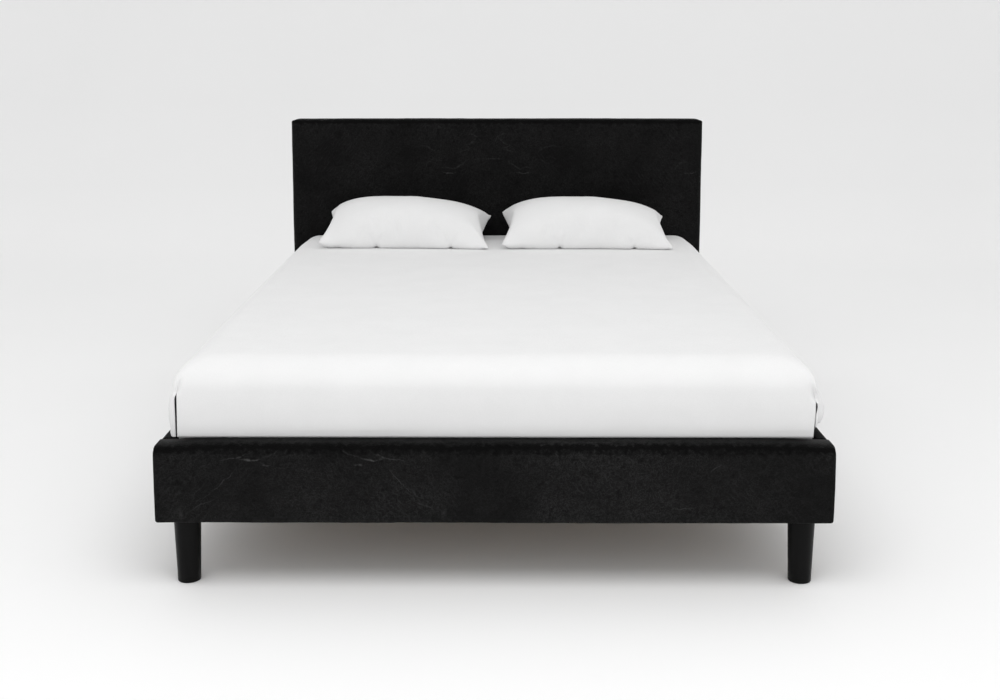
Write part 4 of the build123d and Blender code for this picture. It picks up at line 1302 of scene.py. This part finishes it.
# Materials of the nodes that show as they are
NODE_MATERIALS = (
    (PINE["X"], SLATS, "headboard_*_rail", "foot_rail_board"),
    (PINE["Y"], "side_rail_board_*", "slat_ledge_*", "centre_beam"),
    (PINE["Z"], "headboard_stile_*"),
    (PLYWOOD, "headboard_face_panel"),
    (HARDWOOD, "corner_block_*"),
    (FOAM, "*_foam*"),
    (STRAP, "slat_webbing"),
    (ZINC, "corner_bolts", "corner_nuts", "leg_hanger_bolts", "leg_plates"),
    (BLACK_STEEL, "beam_hanger_*", "levelling_foot_*"),
    (LACQUER, "centre_leg_*"),
    (NYLON, "leg_glides"),
)
for material, *patterns in NODE_MATERIALS:
    for name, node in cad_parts.items():
        if any(fnmatch(name, pattern) for pattern in patterns):
            node.data.materials.clear()
            node.data.materials.append(material)


# Stage, light and camera
def seen_rays(nodes):
    """1 where the camera, a reflection or a clear surface looks, 0 for the light thrown on things."""
    rays = nodes.add("LightPath")
    return nodes.most(rays["Is Camera Ray"], rays["Is Glossy Ray"], rays["Is Transmission Ray"])


def stage_material():
    """Pale paper, a little paler to the camera and in reflections than in the light it throws back."""
    paper = Surface("pale_floor", 0.9, 0.1)
    height = paper.parts(paper.place)["Z"]
    thrown = paper.ramp(height, [(0.0, 0.92), (0.6, 0.905)])
    shown = paper.ramp(height, [(0.0, 1.0), (0.35, 0.945), (0.9, 0.915)])
    mottle = paper.ramp(paper.cloud(0.8, 2.0), [(0.3, 0.99), (0.7, 1.0)])
    tone = paper.blend("MIX", seen_rays(paper), thrown, shown)
    paper.shade("Base Color", paper.blend("MULTIPLY", 1.0, tone, mottle))
    return paper.material


def stage():
    """A floor that curves up into a backdrop far behind the bed."""
    half, near, bend, radius, high, columns = 60.0, -60.0, 3.4, 2.2, 9.0, 9
    path = [(y, 0.0) for y in np.linspace(near, bend, 12)]
    for angle in np.linspace(0, QUARTER, 25)[1:]:
        path.append((bend + radius * math.sin(angle), radius * (1 - math.cos(angle))))
    path.append((bend + radius, high))
    vertices = [(x, y, z) for y, z in path for x in np.linspace(-half, half, columns)]
    faces = strip_faces(len(path), columns, False)
    piece = mesh_object("studio_floor", vertices, faces, stage_material())


def area_light(name, place, target, size, watts):
    lamp = bpy.data.lights.new(name, "AREA")
    lamp.shape = "RECTANGLE"
    lamp.size, lamp.size_y = size
    lamp.energy = watts
    lamp_object = bpy.data.objects.new(name, lamp)
    lamp_object.location = place
    lamp_object.rotation_euler = (Vector(target) - Vector(place)).to_track_quat("-Z", "Y").to_euler()
    bpy.context.scene.collection.objects.link(lamp_object)


# The world's light from level with the floor, the share of that from overhead, and its level where it is seen
SKY_LEVEL = 1.08
SKY_OVERHEAD = 0.62
SKY_SHOWN = 0.8


def light():
    world = bpy.data.worlds.new("studio")
    bpy.context.scene.world = world
    world.use_nodes = True
    nodes = Nodes(world.node_tree)
    height = nodes.parts(nodes.add("TexCoord")["Generated"])["Z"]
    sky = nodes.ramp(height, [(0.0, SKY_LEVEL), (1.0, SKY_OVERHEAD * SKY_LEVEL)])
    background = nodes.tree.nodes["Background"].inputs
    nodes.feed(background["Color"], nodes.blend("MIX", seen_rays(nodes), sky, grey(SKY_SHOWN)))
    background["Strength"].default_value = 1.0
    area_light("front_softbox", (0.0, -2.4, 3.6), (0.0, -0.9, 0.3), (3.2, 2.2), 46.0)


def camera():
    data = bpy.data.cameras.new("photo_camera")
    data.sensor_width = SENSOR
    data.lens = CAMERA_FOCAL * SENSOR
    data.shift_x, data.shift_y = CAMERA_SHIFT
    data.clip_end = 100
    eye = bpy.data.objects.new("photo_camera", data)
    eye.location = CAMERA_PLACE
    eye.rotation_euler = (QUARTER - CAMERA_PITCH, 0.0, -CAMERA_YAW)
    bpy.context.scene.collection.objects.link(eye)
    bpy.context.scene.camera = eye


stage()
light()
camera()
bpy.context.scene.view_settings.view_transform = "Standard"
